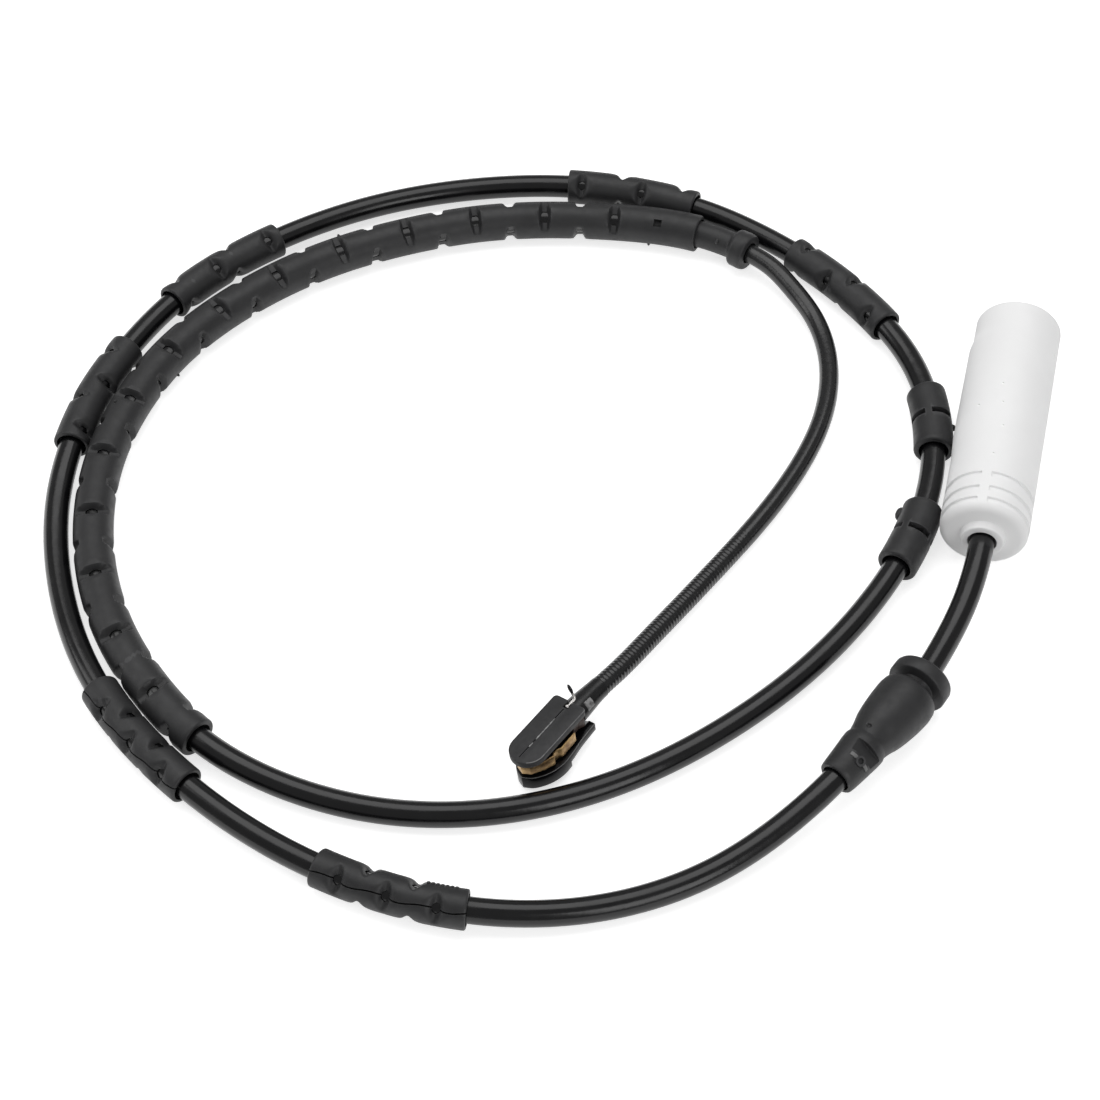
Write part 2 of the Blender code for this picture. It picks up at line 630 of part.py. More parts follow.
def terminal(name, side, route, model):
    """A pin with a pointed end in the socket and a crimp barrel in the wire chamber."""
    tip = carrier_front() + PIN_REACH
    shoulder = socket_floor() - FACE_GAP
    taper = 1.0 * MM
    profile = [(0.0, tip), (PIN_RADIUS / 2.0, tip), (PIN_RADIUS, tip - taper),
               (PIN_RADIUS, shoulder), (CRIMP_RADIUS, shoulder),
               (CRIMP_RADIUS, shoulder - CRIMP_LENGTH), (0.0, shoulder - CRIMP_LENGTH)]
    pin = turned(name, profile, 12, model)
    transform(pin, Matrix.Translation((side * PIN_SPACING / 2.0, 0.0, 0.0)))
    return transform(pin, plug_matrix(route))


def core_wire(name, side, route, model):
    """One insulated core, from the cable's end to its crimp."""
    start = BOSS_AT + FACE_GAP
    end = socket_floor() - FACE_GAP - CRIMP_LENGTH - FACE_GAP
    near, far = 1.15 * MM, PIN_SPACING / 2.0
    points = []
    for k in range(7):
        share = k / 6.0
        ease = share * share * (3.0 - 2.0 * share)
        points.append((side * (near + (far - near) * ease), 0.0, start + (end - start) * share))
    wire = tube(name, points, CORE_DIAMETER, 2, model)
    return transform(wire, plug_matrix(route))


def head_matrix(route):
    """From the head's own frame, with X to its tip and the foot's underside at zero, to
    the world: the lead's centre meets it at the route's end, and it leans by its roll."""
    end = route.point(route.length)
    along = route.tangent(route.length)
    turn = math.atan2(along.y, along.x)
    lean = Euler((HEAD_ROLL, 0.0, turn), 'XYZ').to_matrix().to_4x4()
    return Matrix.Translation(end) @ lean @ Matrix.Translation((0.0, 0.0, -LEAD_HEIGHT))


def head_top():
    return FOOT_THICKNESS + GROOVE_HEIGHT + TOP_THICKNESS


def rounded_outline(length, width, steps=6):
    """A bar with a half-round tip at +X, anticlockwise from the rear right corner."""
    radius = width / 2.0
    centre = length - radius
    tip = [(centre + radius * math.cos(a), radius * math.sin(a))
           for a in (math.pi * (k / steps - 0.5) for k in range(steps + 1))]
    return [(0.0, -radius)] + tip + [(0.0, radius)]


def foot_outline():
    """The foot: narrow behind the head, widest past the middle and round at the tip."""
    shape = ((-0.09, 0.81), (0.21, 0.88), (0.43, 0.98), (0.58, 1.0), (0.74, 0.88), (0.86, 0.65),
             (0.95, 0.36))
    side = [(along * FOOT_LENGTH, share * FOOT_WIDTH / 2.0) for along, share in shape]
    return [(x, -y) for x, y in side] + [(FOOT_LENGTH, 0.0)] + list(reversed(side))


def sensor_head(name, route, model, cutters):
    """Top plate, core and foot in one moulding, with a seam along the top and a trough in
    the foot for the lead."""
    groove_top = FOOT_THICKNESS + GROOVE_HEIGHT
    lap = 0.4 * MM
    head = prism(name, foot_outline(), 0.0, FOOT_THICKNESS, model)
    core = prism("core", rounded_outline(CORE_LENGTH, CORE_WIDTH), FOOT_THICKNESS - lap, groove_top + lap,
                 cutters)
    plate = prism("plate", rounded_outline(HEAD_LENGTH, TOP_WIDTH, 8), groove_top, head_top(), cutters)
    fuse(head, core)
    fuse(head, plate)
    wide = FOOT_WIDTH
    ledge = box("ledge", (-HEAD_LENGTH, -wide, -MM), (LEDGE_END, wide, LEDGE_HEIGHT), cutters)
    seam = box("seam", (WIRE_NOTCH[0] + FACE_GAP, -SEAM_WIDTH / 2.0, head_top() - SEAM_DEPTH),
               (HEAD_LENGTH - 0.9 * MM, SEAM_WIDTH / 2.0, head_top() + MM), cutters)
    long, broad = WIRE_NOTCH
    low = head_top() - WIRE_DEPTH - SENSE_WIRE / 2.0 - FACE_GAP
    notch = box("wire_notch", (-MM, -broad / 2.0, low), (long, broad / 2.0, head_top() + MM), cutters)
    trough = cylinder("lead_trough", 1.0, -1.0, 0.0, 16, cutters)
    size = (BOOT_HEIGHT / 2.0 + SEAT_FIT, BOOT_WIDTH / 2.0 + SEAT_FIT, HEAD_LENGTH)
    shaped = Matrix.Rotation(math.pi / 2.0, 4, 'Y') @ Matrix.Diagonal((*size, 1.0))
    transform(trough, Matrix.Translation((0.0, 0.0, LEAD_HEIGHT)) @ shaped)
    for tool in (ledge, seam, notch, trough):
        cut(head, tool)
    return transform(head, head_matrix(route))


def spring_leg():
    """One leg of the retaining spring, from the rear: along the core, out to two bumps
    that stand proud of the top plate with a dent between them, and in to the tip."""
    bump = TOP_WIDTH / 2.0 + SPRING_PROUD
    tip = CORE_LENGTH + SPRING_THICKNESS / 2.0 + 2.0 * FACE_GAP
    shape = ((0.03, 0.77), (0.11, 0.62), (0.22, 0.64), (0.28, 0.96), (0.54, 1.0), (0.59, 0.87),
             (0.65, 0.86), (0.69, 0.97), (0.82, 0.77), (0.955, 0.38), (1.0, 0.0))
    return [(along * tip, share * bump) for along, share in shape]


def retaining_spring(name, route, model):
    """A brass strip that stands on edge in the groove and wraps the core as a U."""
    leg = spring_leg()
    path = [(x, -y) for x, y in leg] + [(x, y) for x, y in reversed(leg[:-1])]
    low = FOOT_THICKNESS + (GROOVE_HEIGHT - SPRING_HEIGHT) / 2.0
    shape = bmesh.new()
    line = [shape.verts.new((x, y, low)) for x, y in path]
    edges = [shape.edges.new(pair) for pair in zip(line, line[1:])]
    raised = bmesh.ops.extrude_edge_only(shape, edges=edges)
    above = [item for item in raised["geom"] if isinstance(item, bmesh.types.BMVert)]
    bmesh.ops.translate(shape, verts=above, vec=(0.0, 0.0, SPRING_HEIGHT))
    mesh = bpy.data.meshes.new(name)
    shape.to_mesh(mesh)
    shape.free()
    spring = add_object(name, mesh, model)
    solidify = spring.modifiers.new("Gauge", 'SOLIDIFY')
    solidify.thickness = SPRING_THICKNESS
    solidify.offset = 0.0
    solidify.use_even_offset = True
    bake(spring)
    return transform(spring, head_matrix(route))


def sense_wire(name, route, model):
    """The end of the wire that the pad wears through, curling up behind the head."""
    out = Vector((0.0, 0.0, head_top() - WIRE_DEPTH))
    shape = ((0.9, 0.0, 0.0), (-0.2, 0.0, 0.0), (-0.9, 0.05, 0.3), (-1.2, 0.3, 1.2),
             (-1.1, 0.5, 2.0), (-1.2, 0.3, 2.9), (-1.5, 0.0, 3.6))
    points = [out + Vector(step) * MM for step in shape]
    wire = tube(name, points, SENSE_WIRE, 2, model)
    return transform(wire, head_matrix(route))


def lead_end(route):
    return route.length - FACE_GAP


def lead_boot(name, route, model):
    """The shrunk boot that grips the lead and flattens where it meets the head."""
    bore = LEAD_DIAMETER / 2.0 + SEAT_FIT
    outer = bore + BOOT_WALL
    heights = (0.0, 0.35, 0.6, 0.85, 1.0)
    profile = [(outer, BOOT_LENGTH * share) for share in reversed(heights)]
    profile += [(bore, BOOT_LENGTH * share) for share in heights]
    boot = turned(name, profile, 16, model)

    def flatten(point):
        share = point.z / BOOT_LENGTH
        ease = min(max((share - 0.35) / 0.5, 0.0), 1.0)
        if Vector(point.xy).length < (bore + outer) / 2.0:
            return point
        tall = 1.0 + (BOOT_HEIGHT / (2.0 * outer) - 1.0) * ease
        wide = 1.0 + (BOOT_WIDTH / (2.0 * outer) - 1.0) * ease
        return Vector((point.x * tall, point.y * wide, point.z))

    move_points(boot, flatten)
    return bend_along(boot, route, lead_end(route) - BOOT_LENGTH, 0.0, -HEAD_ROLL)


# Where the sleeves sit: name, centre along the cable (mm), roll (degrees)
CLOSE_CLIPS = (("clip_sleeve_1", 166.6, 44.0), ("clip_sleeve_2", 226.2, 55.0))
WIDE_CLIPS = (("clip_sleeve_3", 319.9, -50.0), ("clip_sleeve_4", 364.8, 60.0),
              ("clip_sleeve_5", 461.8, -39.0), ("clip_sleeve_6", 516.5, 26.0))
SHORT_SLEEVES = (("short_sleeve_1", 560.0, -61.0), ("short_sleeve_2", 592.2, -70.0))
LONG_ROLL = (16.0, -39.0)
GROMMET_ROLL = 50.0


def build():
    clear_scene()
    model = new_collection("brake_pad_wear_sensor")
    cutters = new_collection("cutters")
    cutters.hide_render = True
    route = Route(HARNESS_ROUTE)

    rubber = material("sleeve_rubber", (0.035, 0.035, 0.037), 0.55)
    jacket = material("cable_jacket", (0.008, 0.008, 0.009), 0.15)
    lead_skin = material("lead_jacket", (0.012, 0.012, 0.013), 0.35)
    white = material("plug_white", (0.86, 0.86, 0.86), 0.45)
    grey = material("carrier_grey", (0.30, 0.31, 0.32), 0.5)
    seal_skin = material("seal_silicone", (0.25, 0.05, 0.03), 0.5)
    core_skin = material("core_insulation", (0.05, 0.03, 0.02), 0.4)
    brass = material("brass", (0.52, 0.36, 0.14), 0.3, 1.0)
    tin = material("tinned_copper", (0.70, 0.68, 0.66), 0.3, 1.0)
    head_black = material("head_plastic", (0.03, 0.03, 0.032), 0.4)
    boot_skin = material("boot_sleeve", (0.015, 0.015, 0.016), 0.4)

    finish(connector_housing("connector_housing", route, model, cutters), white)
    finish(contact_carrier("contact_carrier", route, model, cutters), grey)
    finish(cable_seal("cable_seal", route, model), seal_skin)
    for index, side in ((1, -1.0), (2, 1.0)):
        finish(terminal("terminal_%d" % index, side, route, model), brass)
        finish(core_wire("core_wire_%d" % index, side, route, model), core_skin)
        finish(splice("splice_%d" % index, side, route, model), tin)

    finish(route_tube("main_cable", route, 0.0, CABLE_LENGTH, CABLE_POINT_COUNT, CABLE_DIAMETER, 3,
                      model), jacket)
    finish(body_grommet("body_grommet", GROMMET_ROLL, route, model, cutters), rubber)
    for name, centre, roll in CLOSE_CLIPS:
        finish(clip_sleeve(name, centre * MM, roll, True, route, model, cutters), rubber)
    for name, centre, roll in WIDE_CLIPS:
        finish(clip_sleeve(name, centre * MM, roll, False, route, model, cutters), rubber)
    for name, centre, roll in SHORT_SLEEVES:
        finish(short_sleeve(name, centre * MM, roll, route, model, cutters), rubber)
    finish(long_sleeve("long_sleeve", *LONG_ROLL, route, model, cutters), rubber)

    finish(end_relief("end_relief", route, model), rubber)
    lead_start = relief_start() + FACE_GAP
    finish(route_tube("sensor_lead", route, lead_start, lead_end(route), LEAD_POINT_COUNT,
                      LEAD_DIAMETER, 2, model), lead_skin)
    finish(lead_boot("lead_boot", route, model), boot_skin)
    finish(sensor_head("sensor_head", route, model, cutters), head_black)
    finish(retaining_spring("retaining_spring", route, model), brass)
    finish(sense_wire("sense_wire", route, model), tin)


build()
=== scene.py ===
"""Looks of the brake pad wear sensor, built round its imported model."""

import math

import bmesh
import bpy
import numpy as np
from mathutils import Euler, Matrix, Vector


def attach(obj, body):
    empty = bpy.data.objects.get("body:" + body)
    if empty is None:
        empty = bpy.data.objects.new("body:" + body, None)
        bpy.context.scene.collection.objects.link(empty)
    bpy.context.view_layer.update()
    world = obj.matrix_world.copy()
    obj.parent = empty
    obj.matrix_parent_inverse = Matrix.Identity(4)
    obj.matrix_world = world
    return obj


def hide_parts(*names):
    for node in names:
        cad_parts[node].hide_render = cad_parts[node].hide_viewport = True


MM = 0.001

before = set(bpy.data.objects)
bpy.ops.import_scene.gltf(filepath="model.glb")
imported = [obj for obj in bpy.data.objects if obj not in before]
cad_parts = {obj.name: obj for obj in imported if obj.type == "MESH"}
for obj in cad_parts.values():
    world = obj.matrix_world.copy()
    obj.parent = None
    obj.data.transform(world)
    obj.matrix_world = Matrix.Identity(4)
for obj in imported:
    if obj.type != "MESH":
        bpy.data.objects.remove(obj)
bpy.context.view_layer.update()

# The route, stations and sizes below repeat those of the model's source.
ROUTE_MIDDLE = (0.546, -0.576, -0.059)
HARNESS_ROUTE = (
    (90.65, 20.0, 8.85), (90.65, 13.5, 8.85), (90.65, 7.0, 8.85), (90.4, 0.5, 8.5),
    (89.25, -8.5, 7.4), (87.1, -17.5, 6.6), (83.4, -28.9, 6.3), (77.55, -41.45, 6.3),
    (71.6, -53.5, 5.8), (66.15, -61.8, 4.6), (54.25, -75.5, 2.95), (36.2, -87.8, 2.65),
    (13.55, -94.7, 3.8), (-14.95, -92.6, 3.77), (-42.7, -82.05, 3.8), (-67.55, -64.05, 3.82),
    (-84.1, -41.05, 2.9), (-92.8, -17.5, 3.3), (-94.45, -5.0, 3.8), (-94.45, 8.95, 3.78),
    (-91.9, 23.4, 3.78), (-86.75, 38.7, 3.8), (-71.4, 61.1, 3.8), (-51.4, 78.95, 2.95),
    (-27.05, 90.0, 3.2), (-12.95, 92.85, 3.8), (2.5, 93.95, 3.78), (16.8, 92.45, 3.78),
    (32.1, 87.6, 3.5), (44.7, 80.75, 3.8), (57.05, 71.65, 3.8), (68.65, 58.85, 3.88),
    (76.45, 40.85, 4.12), (78.45, 20.3, 4.12), (75.4, 2.0, 4.1), (64.95, -22.5, 2.75),
    (50.75, -43.2, 2.6), (33.95, -59.9, 2.6), (14.7, -71.5, 2.6), (-6.65, -77.15, 2.65),
    (-26.0, -76.7, 3.1), (-45.3, -70.75, 4.07), (-57.65, -62.2, 4.07), (-68.9, -50.9, 4.06),
    (-77.55, -37.7, 4.06), (-83.5, -22.8, 4.06), (-86.35, -7.25, 4.06), (-85.85, 8.4, 4.06),
    (-82.45, 23.2, 4.06), (-75.85, 36.85, 4.06), (-66.9, 49.2, 4.06), (-55.9, 60.0, 4.06),
    (-43.55, 68.75, 4.06), (-30.15, 75.85, 4.06), (-15.3, 80.8, 4.1), (0.55, 83.6, 4.3),
    (18.5, 83.75, 4.7), (30.0, 80.5, 4.85), (36.1, 77.2, 4.8), (41.1, 73.05, 4.0),
    (46.6, 67.5, 2.8), (51.4, 58.65, 2.2), (53.85, 48.2, 2.12), (54.05, 37.3, 2.12),
    (52.45, 26.95, 2.12), (46.45, 7.75, 2.12), (38.85, -9.95, 2.2), (35.1, -18.6, 2.6),
    (31.35, -27.6, 3.5), (27.35, -37.15, 4.6), (23.95, -44.0, 5.15), (21.4, -49.7, 5.47),
)
CABLE = 5.0 * MM
LEAD = 4.1 * MM
CABLE_LENGTH = 979.0 * MM
END_BORE = 3.05 * MM
CLIP_LENGTH = 29.0 * MM
CLIP_RADIUS = 3.75 * MM
SHORT_LENGTH = 16.1 * MM
SHORT_RADIUS = 4.1 * MM
LONG_START = 759.7 * MM
LONG_LENGTH = 235.36 * MM
LONG_RADIUS = 4.05 * MM
PLUG_DEPTH = 10.8 * MM
GROMMET_START = 48.6 * MM
BOSS_AT = 13.0 * MM

# These are set here alone: bores that lie close round the cable, how deep a sleeve's wider
# ends reach, and the grommet's turn about the cable in degrees.
BORE = 2.64 * MM
END_DEPTH = 2.0 * MM
GROMMET_BORE = 2.85 * MM
GROMMET_ROLL = 36.0


class Route:
    """A natural cubic spline through the route's points, measured by length along it."""

    def __init__(self, points):
        knots = (np.array(points) - np.array(ROUTE_MIDDLE)) * MM
        chord = np.linalg.norm(np.diff(knots, axis=0), axis=1)
        count = len(knots)
        matrix = np.eye(count)
        right = np.zeros((count, 3))
        for i in range(1, count - 1):
            before, after = chord[i - 1], chord[i]
            matrix[i, i - 1:i + 2] = before, 2.0 * (before + after), after
            slopes = (knots[i] - knots[i - 1]) / before, (knots[i + 1] - knots[i]) / after
            right[i] = 6.0 * (slopes[1] - slopes[0])
        bend = np.linalg.solve(matrix, right)
        pieces = []
        for i, width in enumerate(chord):
            b = np.linspace(0.0, width, 40, endpoint=False)[:, None]
            a = width - b
            pieces.append((bend[i] * a ** 3 + bend[i + 1] * b ** 3) / (6.0 * width)
                          + (knots[i] / width - bend[i] * width / 6.0) * a
                          + (knots[i + 1] / width - bend[i + 1] * width / 6.0) * b)
        self.samples = np.vstack(pieces + [knots[-1:]])
        steps = np.linalg.norm(np.diff(self.samples, axis=0), axis=1)
        self.lengths = np.concatenate(([0.0], np.cumsum(steps)))
        self.length = float(self.lengths[-1])

    def points(self, at):
        at = np.asarray(at, float)
        inside = np.clip(at, 0.0, self.length)
        place = np.stack([np.interp(inside, self.lengths, self.samples[:, k]) for k in range(3)], 1)
        return place + self.tangents(inside) * (at - inside)[:, None]

    def tangents(self, at):
        low = np.clip(np.asarray(at, float) - MM, 0.0, self.length)
        high = np.clip(np.asarray(at, float) + MM, 0.0, self.length)
        ends = [np.stack([np.interp(x, self.lengths, self.samples[:, k]) for k in range(3)], 1)
                for x in (low, high)]
        along = ends[1] - ends[0]
        return along / np.linalg.norm(along, axis=1)[:, None]

    def point(self, at):
        return Vector(self.points([at])[0])

    def tangent(self, at):
        return Vector(self.tangents([at])[0])

    def lay(self, coords, start, roll_start, roll_end):
        """Straight coordinates, with Z along the piece, laid on the route from start on."""
        z = coords[:, 2]
        share = z / max(z.max(), 1e-9)
        roll = roll_start + (roll_end - roll_start) * share
        along = self.tangents(start + z)
        left = np.cross(np.array((0.0, 0.0, 1.0)), along)
        left /= np.linalg.norm(left, axis=1)[:, None]
        up = np.cross(along, left)
        row = up * np.cos(roll)[:, None] + left * np.sin(roll)[:, None]
        side = np.cross(along, row)
        return self.points(start + z) + row * coords[:, :1] + side * coords[:, 1:2]


route = Route(HARNESS_ROUTE)


# ---- node materials

# Pointiness from a barely rounded to a sharp corner, and how much paler such a corner is:
# wear on the rubber, a painted edge highlight on the plate
CORNER_POINTINESS = (0.52, 0.62)
WEAR_AND_HIGHLIGHT_GAIN, WEAR_AND_HIGHLIGHT_LIFT = 3.5, 0.02


def new_material(name):
    mat = bpy.data.materials.new(name)
    mat.use_nodes = True
    return mat, mat.node_tree.nodes, mat.node_tree.links


def noise(nodes, links, vector, scale, detail=3.0, roughness=0.55):
    texture = nodes.new("ShaderNodeTexNoise")
    texture.inputs["Scale"].default_value = scale
    texture.inputs["Detail"].default_value = detail
    texture.inputs["Roughness"].default_value = roughness
    links.new(vector, texture.inputs["Vector"])
    return texture.outputs["Fac"]


def spread(nodes, links, value, low, high, start=0.3, end=0.7):
    remap = nodes.new("ShaderNodeMapRange")
    remap.inputs["From Min"].default_value = start
    remap.inputs["From Max"].default_value = end
    remap.inputs["To Min"].default_value = low
    remap.inputs["To Max"].default_value = high
    links.new(value, remap.inputs["Value"])
    return remap.outputs["Result"]


def blend_colours(nodes, links, value, first, second):
    mix = nodes.new("ShaderNodeMix")
    mix.data_type = 'RGBA'
    mix.inputs["A"].default_value = (*first, 1.0)
    mix.inputs["B"].default_value = (*second, 1.0)
    links.new(value, mix.inputs["Factor"])
    return mix.outputs["Result"]


def moulded(name, dark, light, rough, grain=0.00018, depth=0.00001, mottle=0.004, metallic=0.0,
            specular=0.5, edge=0.0):
    """A moulded or drawn surface: mottled colour and gloss, with a fine grain in relief and,
    where edge is set, paler corners: wear on the rubber, a painted edge highlight on the plate."""
    mat, nodes, links = new_material(name)
    shader = nodes["Principled BSDF"]
    place = nodes.new("ShaderNodeTexCoord").outputs["Object"]
    patches = noise(nodes, links, place, 1.0 / mottle, 4.0)
    colour = blend_colours(nodes, links, spread(nodes, links, patches, 0.0, 1.0), dark, light)
    if edge:
        geometry = nodes.new("ShaderNodeNewGeometry")
        corner = spread(nodes, links, geometry.outputs["Pointiness"], 0.0, edge, *CORNER_POINTINESS)
        wear_and_highlight = nodes.new("ShaderNodeMix")
        wear_and_highlight.data_type = 'RGBA'
        paler = (min(WEAR_AND_HIGHLIGHT_GAIN * c + WEAR_AND_HIGHLIGHT_LIFT, 1.0) for c in light)
        wear_and_highlight.inputs["B"].default_value = (*paler, 1.0)
        links.new(colour, wear_and_highlight.inputs["A"])
        links.new(corner, wear_and_highlight.inputs["Factor"])
        colour = wear_and_highlight.outputs["Result"]
    links.new(colour, shader.inputs["Base Color"])
    gloss = noise(nodes, links, place, 2.3 / mottle, 3.0)
    links.new(spread(nodes, links, gloss, rough[0], rough[1]), shader.inputs["Roughness"])
    relief = noise(nodes, links, place, 1.0 / grain, 2.0)
    bump = nodes.new("ShaderNodeBump")
    bump.inputs["Strength"].default_value = 1.0
    bump.inputs["Distance"].default_value = depth
    links.new(relief, bump.inputs["Height"])
    links.new(bump.outputs["Normal"], shader.inputs["Normal"])
    shader.inputs["Metallic"].default_value = metallic
    shader.inputs["Specular IOR Level"].default_value = specular
    return mat


sleeve_mat = moulded("sleeve_rubber", (0.017, 0.017, 0.018), (0.024, 0.024, 0.025), (0.42, 0.55),
                     grain=0.00025, depth=0.000012, specular=0.38, edge=0.3)
cable_mat = moulded("cable_jacket", (0.003, 0.003, 0.0035), (0.005, 0.005, 0.0055), (0.14, 0.26),
                    grain=0.0022, depth=0.000025, mottle=0.012, specular=0.42)
lead_mat = moulded("lead_jacket", (0.005, 0.005, 0.0055), (0.010, 0.010, 0.0105), (0.16, 0.3),
                   grain=0.0005, depth=0.00002, mottle=0.002)
plug_mat = moulded("plug_white", (0.885, 0.885, 0.885), (0.91, 0.91, 0.91), (0.45, 0.6),
                   grain=0.0006, depth=0.000008, mottle=0.01)
carrier_mat = moulded("carrier_grey", (0.22, 0.23, 0.24), (0.27, 0.28, 0.29), (0.4, 0.55))
seal_mat = moulded("seal_silicone", (0.22, 0.04, 0.025), (0.28, 0.06, 0.035), (0.4, 0.5))
core_mat = moulded("core_insulation", (0.04, 0.025, 0.015), (0.06, 0.035, 0.02), (0.3, 0.45))
brass_mat = moulded("brass_strip", (0.19, 0.11, 0.055), (0.54, 0.37, 0.17), (0.28, 0.5),
                    grain=0.0003, depth=0.000006, mottle=0.0016, metallic=1.0)
# A dark brown brass for the rear of the spring
dark_brass_mat = moulded("brass_dark", (0.035, 0.022, 0.017), (0.06, 0.038, 0.03), (0.35, 0.5),
                      grain=0.0004, depth=0.00001, mottle=0.0012)
pin_mat = moulded("brass_pin", (0.52, 0.37, 0.15), (0.60, 0.44, 0.2), (0.2, 0.3),
                  grain=0.0003, depth=0.000003, mottle=0.0015, metallic=1.0)
tin_mat = moulded("tinned_copper", (0.62, 0.60, 0.58), (0.72, 0.70, 0.68), (0.25, 0.4),
                  metallic=1.0)
# Pale speckle: a painted highlight in the head's seam, and a paler patch on the boot
highlight_and_patch_mat = moulded("pale_highlight_and_patch", (0.03, 0.03, 0.03), (0.40, 0.40, 0.40), (0.4, 0.6),
                    mottle=0.0009)
# A pale rim colour: a painted highlight on the head's edges and on the grommet's window bands
highlight_rim_mat = moulded("painted_highlight_rim", (0.05, 0.05, 0.05), (0.16, 0.16, 0.16), (0.25, 0.4), mottle=0.003)
boot_mat = moulded("lead_boot_skin", (0.004, 0.004, 0.0045), (0.010, 0.010, 0.0105), (0.2, 0.35),
                   grain=0.0004, depth=0.000015, mottle=0.0015, specular=0.35)
wire_mat = moulded("sense_wire_skin", (0.010, 0.010, 0.011), (0.02, 0.02, 0.021), (0.2, 0.3))
# The plate's paler corners are a painted edge highlight
plate_mat = moulded("head_plate", (0.017, 0.017, 0.018), (0.023, 0.023, 0.024), (0.5, 0.62),
                    grain=0.0002, depth=0.000015, mottle=0.002, specular=0.35, edge=0.6)
foot_mat = moulded("head_foot", (0.002, 0.002, 0.0025), (0.004, 0.004, 0.0045), (0.14, 0.25),
                   grain=0.0012, depth=0.00001, mottle=0.002, specular=0.14)


# ---- mesh helpers

# Corners closer together than this after a cut are one corner
WELD = 0.003 * MM


def link(name, mesh):
    obj = bpy.data.objects.new(name, mesh)
    bpy.context.scene.collection.objects.link(obj)
    return obj


def from_arrays(name, coords, faces):
    mesh = bpy.data.meshes.new(name)
    mesh.from_pydata([tuple(c) for c in coords], [], faces)
    mesh.validate()
    return link(name, mesh)


def lathe(name, profile, sides):
    """A closed (radius, height) profile turned about Z; it runs down its outer side."""
    count = len(profile)
    coords, faces = [], []
    for k in range(sides):
        a = 2.0 * math.pi * k / sides
        coords += [(r * math.cos(a), r * math.sin(a), z) for r, z in profile]
    for k in range(sides):
        here, there = k * count, ((k + 1) % sides) * count
        for i in range(count):
            j = (i + 1) % count
            faces.append((here + i, here + j, there + j, there + i))
    obj = from_arrays(name, coords, faces)
    shape = bmesh.new()
    shape.from_mesh(obj.data)
    bmesh.ops.remove_doubles(shape, verts=shape.verts, dist=1e-7)
    bmesh.ops.recalc_face_normals(shape, faces=shape.faces)
    shape.to_mesh(obj.data)
    shape.free()
    return obj


def ring(name, inner, outer, low, high, sides, taper=0.0):
    """A ring about Z, narrower at its inner edge by the taper on either side."""
    section = [(outer, high), (outer, low), (inner, low + taper), (inner, high - taper)]
    return lathe(name, section, sides)


def prism(name, outline, low, high):
    shape = bmesh.new()
    face = shape.faces.new([shape.verts.new((x, y, low)) for x, y in outline])
    raised = bmesh.ops.extrude_face_region(shape, geom=[face])
    top = [item for item in raised["geom"] if isinstance(item, bmesh.types.BMVert)]
    bmesh.ops.translate(shape, verts=top, vec=(0.0, 0.0, high - low))
    bmesh.ops.recalc_face_normals(shape, faces=shape.faces)
    mesh = bpy.data.meshes.new(name)
    shape.to_mesh(mesh)
    shape.free()
    return link(name, mesh)


def box(name, low, high):
    outline = ((low[0], low[1]), (high[0], low[1]), (high[0], high[1]), (low[0], high[1]))
    return prism(name, outline, low[2], high[2])


def rod(name, radius, low, high, sides):
    turns = (2.0 * math.pi * k / sides for k in range(sides))
    return prism(name, [(radius * math.cos(a), radius * math.sin(a)) for a in turns], low, high)


def tube_faces(rings, sides):
    """Faces of a tube with closed ends whose vertices come ring by ring."""
    around = [(k, (k + 1) % sides) for k in range(sides)]
    wall = [(i * sides + k, i * sides + n, (i + 1) * sides + n, (i + 1) * sides + k)
            for i in range(rings - 1) for k, n in around]
    ends = [tuple(range(sides - 1, -1, -1)), tuple((rings - 1) * sides + k for k in range(sides))]
    return wall + ends


def ball(name, radius, centre, squash=(1.0, 1.0, 1.0)):
    shape = bmesh.new()
    bmesh.ops.create_uvsphere(shape, u_segments=16, v_segments=10, radius=radius)
    mesh = bpy.data.meshes.new(name)
    shape.to_mesh(mesh)
    shape.free()
    obj = link(name, mesh)
    mesh.transform(Matrix.Translation(centre) @ Matrix.Diagonal((*squash, 1.0)))
    return obj


def bake(obj):
    """Applies a piece's modifiers."""
    bpy.context.view_layer.update()
    mesh = bpy.data.meshes.new_from_object(obj.evaluated_get(bpy.context.evaluated_depsgraph_get()))
    obj.modifiers.clear()
    obj.data = mesh
    return obj


def drop(obj):
    bpy.data.objects.remove(obj, do_unlink=True)


def join(name, objects):
    """One piece from several, whose faces follow in the same order."""
    shape = bmesh.new()
    for obj in objects:
        shape.from_mesh(obj.data)
        drop(obj)
    mesh = bpy.data.meshes.new(name)
    shape.to_mesh(mesh)
    shape.free()
    return link(name, mesh)


def combine(obj, tool, operation='DIFFERENCE'):
    modifier = obj.modifiers.new("Combine", 'BOOLEAN')
    modifier.operation = operation
    modifier.solver = 'EXACT'
    modifier.object = tool
    bake(obj)
    drop(tool)
    shape = bmesh.new()
    shape.from_mesh(obj.data)
    bmesh.ops.remove_doubles(shape, verts=shape.verts, dist=WELD)
    bmesh.ops.dissolve_degenerate(shape, edges=shape.edges, dist=WELD)
    shape.to_mesh(obj.data)
    shape.free()
    return obj


def soften(obj, width, segments, angle, slot=-1):
    """Rounds a piece's corners; the new faces take the material slot, if one is given."""
    bevel = obj.modifiers.new("Soft", 'BEVEL')
    bevel.material = slot
    bevel.width = width
    bevel.segments = segments
    bevel.limit_method = 'ANGLE'
    bevel.angle_limit = math.radians(angle)
    bevel.use_clamp_overlap = True
    return bake(obj)


def lay_on_route(obj, start, roll_start, roll_end=None):
    """Bends a piece modelled along Z onto the route, rolled about it by the given degrees."""
    last = roll_start if roll_end is None else roll_end
    coords = np.empty(len(obj.data.vertices) * 3)
    obj.data.vertices.foreach_get("co", coords)
    placed = route.lay(coords.reshape(-1, 3), start, math.radians(roll_start), math.radians(last))
    obj.data.vertices.foreach_set("co", placed.ravel())
    obj.data.update()
    return obj


